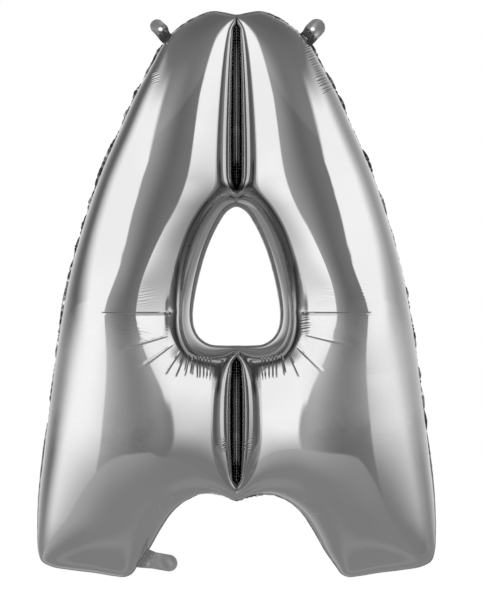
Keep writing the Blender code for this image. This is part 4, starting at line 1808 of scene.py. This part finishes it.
@dataclass(frozen=True)
class Softbox:
    """A light panel as the film mirrors it, in degrees.

    Attributes:
        side: the side of the camera that it stands on.
        near: azimuth of its edge towards the camera.
        far: azimuths over which its far side fades.
        top: elevations over which its top fades.
        fade: elevations over which it brightens upwards.
        dim: share of its light at its lower edge.
        glow: light that it spills on the wall beside it.
        spill: azimuth at which that starts, and how far past the near edge it is full.
        spill_end: azimuths over which it stops.
        spill_top: elevations over which it stops.
        blur: width of the near edge, and how much it grows for each degree above the corner.
        lean: how far the near edge leans outwards for each degree above the corner.
    """

    side: Side
    near: float
    far: Pair
    top: Pair
    fade: Pair
    dim: float
    glow: float
    spill: Pair = (-8.0, 6.0)
    spill_end: Pair = (60.0, 130.0)
    spill_top: Pair = (46.0, 22.0)
    blur: Pair = (1.5, 0.35)
    lean: float = 1.1

    def lit(self, graph: Graph, azimuth: Signal, elevation: Signal, tone: Signal) -> Signal:
        """The surroundings' tone with this panel in them.

        Args:
            graph: the world's graph.
            azimuth: degrees to the right of the way to the camera.
            elevation: degrees above the horizon.
            tone: the tone without the panel.
        """
        aside = azimuth * float(self.side.value)
        spill = graph.hump(aside, (self.spill[0], self.near + self.spill[1]), self.spill_end)
        spill = spill * graph.smooth(elevation, *self.spill_top)
        tone = tone + spill * self.glow
        high = graph.math("MAXIMUM", elevation - Studio.corner, 0.0)
        soft = high * self.blur[1] + self.blur[0]
        shape = graph.smooth((aside - self.near - high * self.lean) / soft, -1.0, 1.0)
        shape = shape * graph.smooth(aside, self.far[1], self.far[0])
        shape = shape * graph.smooth(elevation, self.top[1], self.top[0])
        light = self.dim + graph.smooth(elevation, *self.fade) * (1 - self.dim)
        return tone + shape * (light * Studio.peak - tone)


@dataclass
class Studio:
    """Pale floor, soft light all round, and the camera.

    Attributes:
        softboxes: the two light panels.
        peak: the panels' brightness.
        wall: tone of the wall behind the camera.
        ceiling: tone above the wall.
        ceiling_start: elevations over which that starts.
        ceiling_end: elevations over which it falls back to the wall's tone.
        floor_tone: tone of the floor.
        floor_glow: light on the floor's far left, under the wall.
        glow_azimuths: azimuths over which that starts.
        glow_heights: elevations over which that starts.
        floor_rim: brighter ring on the floor below.
        rim_heights: elevations over which the ring starts and stops.
        sides: tones beside the balloon, left and right, high up and low down.
        sides_low: elevations over which the low tones start.
        sides_blend: azimuths over which left turns into right.
        sides_from: azimuths to either hand over which the sides start.
        sides_under: elevations over which they start.
        backdrop: tone of the lit cloth straight behind.
        cloth_from: azimuths to either hand over which it starts.
        cloth_under: elevations over which it starts.
        cloth_over: elevations over which it starts from below.
        floor_edge: elevation of the edge between wall and floor.
        edge_blur: half the width of that edge.
        floor_slope: how much that edge drops for each degree to the right.
        falling: azimuth at which it starts to drop, and for how many degrees.
        rising: azimuth at which it rises again, for how many degrees, and how steeply.
        corner: elevation above which the panels' near edges lean apart.
        floor_height: height of the floor that stands in the picture.
        floor_radius: how far that floor reaches.
        floor_sides: sides of its round outline.
        floor_fade: shares of that over which it fades into white.
        floor_colour: its colour.
        floor_gloss: its roughness.
        distance: distance of the camera.
        sensor: width of its sensor, in millimetres.
        frame_size: the photograph's columns and rows.
        centre: column and row of its middle.
    """

    softboxes: tuple[Softbox, ...] = (
        Softbox(Side.LEFT, 33.0, (84.0, 118.0), (32.0, 42.0), (-28.0, 0.0), 0.45, 0.30),
        Softbox(Side.RIGHT, 33.0, (80.0, 118.0), (32.0, 42.0), (-30.0, 16.0), 0.22, 0.08),
    )
    peak: float = 1.24
    wall: float = 0.162
    ceiling: float = 0.22
    ceiling_start: Pair = (25.0, 27.0)
    ceiling_end: Pair = (36.0, 75.0)
    floor_tone: float = 0.285
    floor_glow: float = 0.24
    glow_azimuths: Pair = (50.0, -50.0)
    glow_heights: Pair = (-46.0, -20.0)
    floor_rim: float = 0.05
    rim_heights: tuple[float, ...] = (-54.0, -61.0, -62.0, -70.0)
    sides: tuple[Pair, ...] = ((0.145, 0.31), (0.42, 0.30))
    sides_low: Pair = (6.0, -12.0)
    sides_blend: Pair = (-60.0, 60.0)
    sides_from: Pair = (92.0, 112.0)
    sides_under: Pair = (40.0, 26.0)
    backdrop: float = 0.85
    cloth_from: Pair = (118.0, 168.0)
    cloth_under: Pair = (30.0, 10.0)
    cloth_over: Pair = (-10.0, -2.0)
    floor_edge: float = -23.5
    edge_blur: float = 1.0
    floor_slope: float = 0.38
    falling: Pair = (15.0, 75.0)
    rising: Triple = (88.0, 25.0, 3.0)
    corner: float = 21.0
    floor_height: float = -1.6
    floor_radius: float = 4.0
    floor_sides: int = 96
    floor_fade: Pair = (0.3, 0.95)
    floor_colour: Triple = (0.86, 0.86, 0.86)
    floor_gloss: float = 0.9
    distance: float = 3.6
    sensor: float = 36.0
    frame_size: tuple[int, int] = (483, 592)
    centre: Pair = (241.5, 296.0)

    def surroundings(self, graph: Graph, azimuth: Signal, elevation: Signal) -> Signal:
        """Brightness of the studio in a direction.

        Args:
            graph: the world's graph.
            azimuth: degrees to the right of the way to the camera.
            elevation: degrees above the horizon.
        """

        def over(heights: Pair) -> Signal:
            """Smooth ramp over two elevations."""
            return graph.smooth(elevation, *heights)

        low = over(self.sides_low)
        left, right = (high + low * (deep - high) for high, deep in self.sides)
        beside = left + graph.smooth(azimuth, *self.sides_blend) * (right - left)
        sides = graph.smooth(abs(azimuth), *self.sides_from) * over(self.sides_under)
        cloth = graph.smooth(abs(azimuth), *self.cloth_from) * over(self.cloth_under)
        cloth = cloth * over(self.cloth_over)
        tone = self.wall + over(self.ceiling_start) * (self.ceiling - self.wall)
        tone = tone + over(self.ceiling_end) * (self.wall - self.ceiling)
        tone = tone + sides * (beside - tone)
        tone = tone + cloth * (self.backdrop - tone)
        for box in self.softboxes:
            tone = box.lit(graph, azimuth, elevation, tone)
        glow = graph.smooth(azimuth, *self.glow_azimuths) * over(self.glow_heights)
        rim = graph.hump(elevation, self.rim_heights[:2], self.rim_heights[2:])
        ground = self.floor_tone + glow * self.floor_glow + rim * self.floor_rim
        over_edge = elevation - self.edge(graph, azimuth)
        below = graph.smooth(over_edge, self.edge_blur, -self.edge_blur)
        return tone + below * (ground - tone)

    def edge(self, graph: Graph, azimuth: Signal) -> Signal:
        """Elevation of the edge between wall and floor at an azimuth, in degrees."""
        start, span = self.falling
        turned = graph.held(azimuth - start, 0.0, span)
        start, span, steepness = self.rising
        behind = graph.held(azimuth - start, 0.0, span)
        dropped = self.floor_edge - turned * self.floor_slope
        return dropped + behind * (steepness * self.floor_slope)

    def world(self) -> None:
        """Light from all round: white to the camera, a studio to the film."""
        world = bpy.data.worlds.new("studio")
        bpy.context.scene.world = world
        world.use_nodes = True
        world.node_tree.nodes.clear()
        graph = Graph(world.node_tree)
        direction = graph.node("ShaderNodeTexCoord").outputs["Generated"]
        x, y, z = (graph.along(direction, axis) for axis in (X_AXIS, Y_AXIS, Z_AXIS))
        azimuth = graph.math("ARCTAN2", x, -y) * math.degrees(1.0)
        elevation = graph.math("ARCSINE", z) * math.degrees(1.0)
        tone = self.surroundings(graph, azimuth, elevation)
        glossy = Signal(graph, graph.node("ShaderNodeLightPath").outputs["Is Glossy Ray"])
        light = 1.0 + glossy * (tone - 1.0)
        shader = graph.node(
            "ShaderNodeBackground", inputs={"Color": (1.0, 1.0, 1.0), "Strength": light}
        )
        end = graph.node("ShaderNodeOutputWorld")
        graph.feed(end.inputs["Surface"], shader.outputs["Background"])

    def floor(self) -> None:
        """Round pale floor that fades into the white round it."""
        mesh = bpy.data.meshes.new("studio_floor")
        with edited(mesh) as disc:
            bmesh.ops.create_circle(
                disc, cap_ends=True, segments=self.floor_sides, radius=self.floor_radius
            )
            bmesh.ops.translate(disc, vec=(0.0, 0.0, self.floor_height), verts=disc.verts)
        item = bpy.data.objects.new("studio_floor", mesh)
        bpy.context.scene.collection.objects.link(item)
        material = bpy.data.materials.new("pale_floor")
        material.use_nodes = True
        graph = Graph(material.node_tree)
        shader = material.node_tree.nodes["Principled BSDF"]
        graph.feed(shader.inputs["Base Color"], self.floor_colour)
        graph.feed(shader.inputs["Roughness"], self.floor_gloss)
        place = graph.node("ShaderNodeTexCoord").outputs["Object"]
        flat = graph.node(
            "ShaderNodeVectorMath", {"operation": "MULTIPLY"}, {0: place, 1: (1.0, 1.0, 0.0)}
        )
        radius = graph.node(
            "ShaderNodeVectorMath", {"operation": "LENGTH"}, {0: flat.outputs["Vector"]}
        )
        away = Signal(graph, radius.outputs["Value"])
        white = graph.node("ShaderNodeEmission", inputs={"Strength": 1.0})
        near, far = self.floor_fade
        share = graph.smooth(away, self.floor_radius * near, self.floor_radius * far)
        graph.surface(share, shader, white)
        mesh.materials.append(material)
        item.visible_glossy = False

    def camera(self) -> None:
        """Level camera far in front, framed as the photograph."""
        data = bpy.data.cameras.new("camera")
        data.sensor_width = self.sensor
        seen = max(self.frame_size) * PIXEL
        data.lens = self.sensor * self.distance / seen
        camera = bpy.data.objects.new("camera", data)
        x, z = on_plan(*self.centre)
        camera.location = (x, -self.distance, z)
        camera.rotation_euler = (math.radians(90.0), 0.0, 0.0)
        bpy.context.scene.collection.objects.link(camera)
        bpy.context.scene.camera = camera

    def build(self) -> None:
        """Set up the whole studio."""
        scene = bpy.context.scene
        scene.view_settings.view_transform = "Standard"
        scene.view_settings.look = "None"
        self.world()
        self.floor()
        self.camera()


TAB = {
    "centre": (110.6 * MM, -14.1 * MM),
    "outward": (0.7474, 0.6643),
    "hole": (-6.9 * MM, 13.5 * MM, 6.0 * MM),
    "painted_shade": 1.0,
}


def strips() -> list[LooseStrip]:
    """The two hanging tabs and the filling tail."""
    return [
        LooseStrip(
            "left_tab_film", "left_hanging_tab", "left_tab", Side.LEFT,
            root_width=19.0 * MM, width=22.5 * MM, length=31.0 * MM,
            lean=math.radians(-4.0), shift=-5.5 * MM,
            twist=math.radians(14.0), rumple=0.7 * MM, seed=4, **TAB,
        ),
        LooseStrip(
            "right_tab_film", "right_hanging_tab", "right_tab", Side.RIGHT,
            root_width=25.0 * MM, width=27.0 * MM, length=33.0 * MM,
            lean=math.radians(-3.0), shift=-3.4 * MM,
            twist=math.radians(4.0), rumple=1.0 * MM, seed=9, **TAB,
        ),
        LooseStrip(
            "tail_film", "inflation_tail", "tail", Side.LEFT,
            centre=(141.4 * MM, -808.4 * MM), outward=(-0.8186, -0.5744), hole=None,
            root_width=33.0 * MM, width=26.0 * MM, length=52.0 * MM,
            lean=math.radians(25.0), shift=0.0,
            twist=math.radians(6.0), rumple=0.5 * MM, seed=12, painted_shade=0.35,
        ),
    ]


def main() -> None:
    """Build and dress the balloon, piece by piece, and set up the studio."""
    logging.basicConfig(level=logging.INFO, format="%(message)s")
    plan = Plan()
    depth = Membrane(plan).solve()
    log.info("film stands %.1f mm off the seam plane", depth.max() / MM)
    pieces = [FoilPanel(plan, depth, facing).build() for facing in Facing]
    pieces.append(SeamFin("outer_fin", "outer_seam", plan.outer, Crumple(3)).build())
    pieces.append(SeamFin("counter_fin", "counter_seam", plan.counter, Crumple(5)).build())
    pieces.append(SlitWeld("upper_weld", "upper_slit_weld", plan.upper_slit).build())
    pieces.append(SlitWeld("lower_weld", "lower_slit_weld", plan.lower_slit).build())
    pieces += [strip.build() for strip in strips()]
    for piece in pieces:
        log.info("%s: %d faces", piece.name, len(piece.data.polygons))
    Studio().build()


if __name__ == "__main__":
    main()
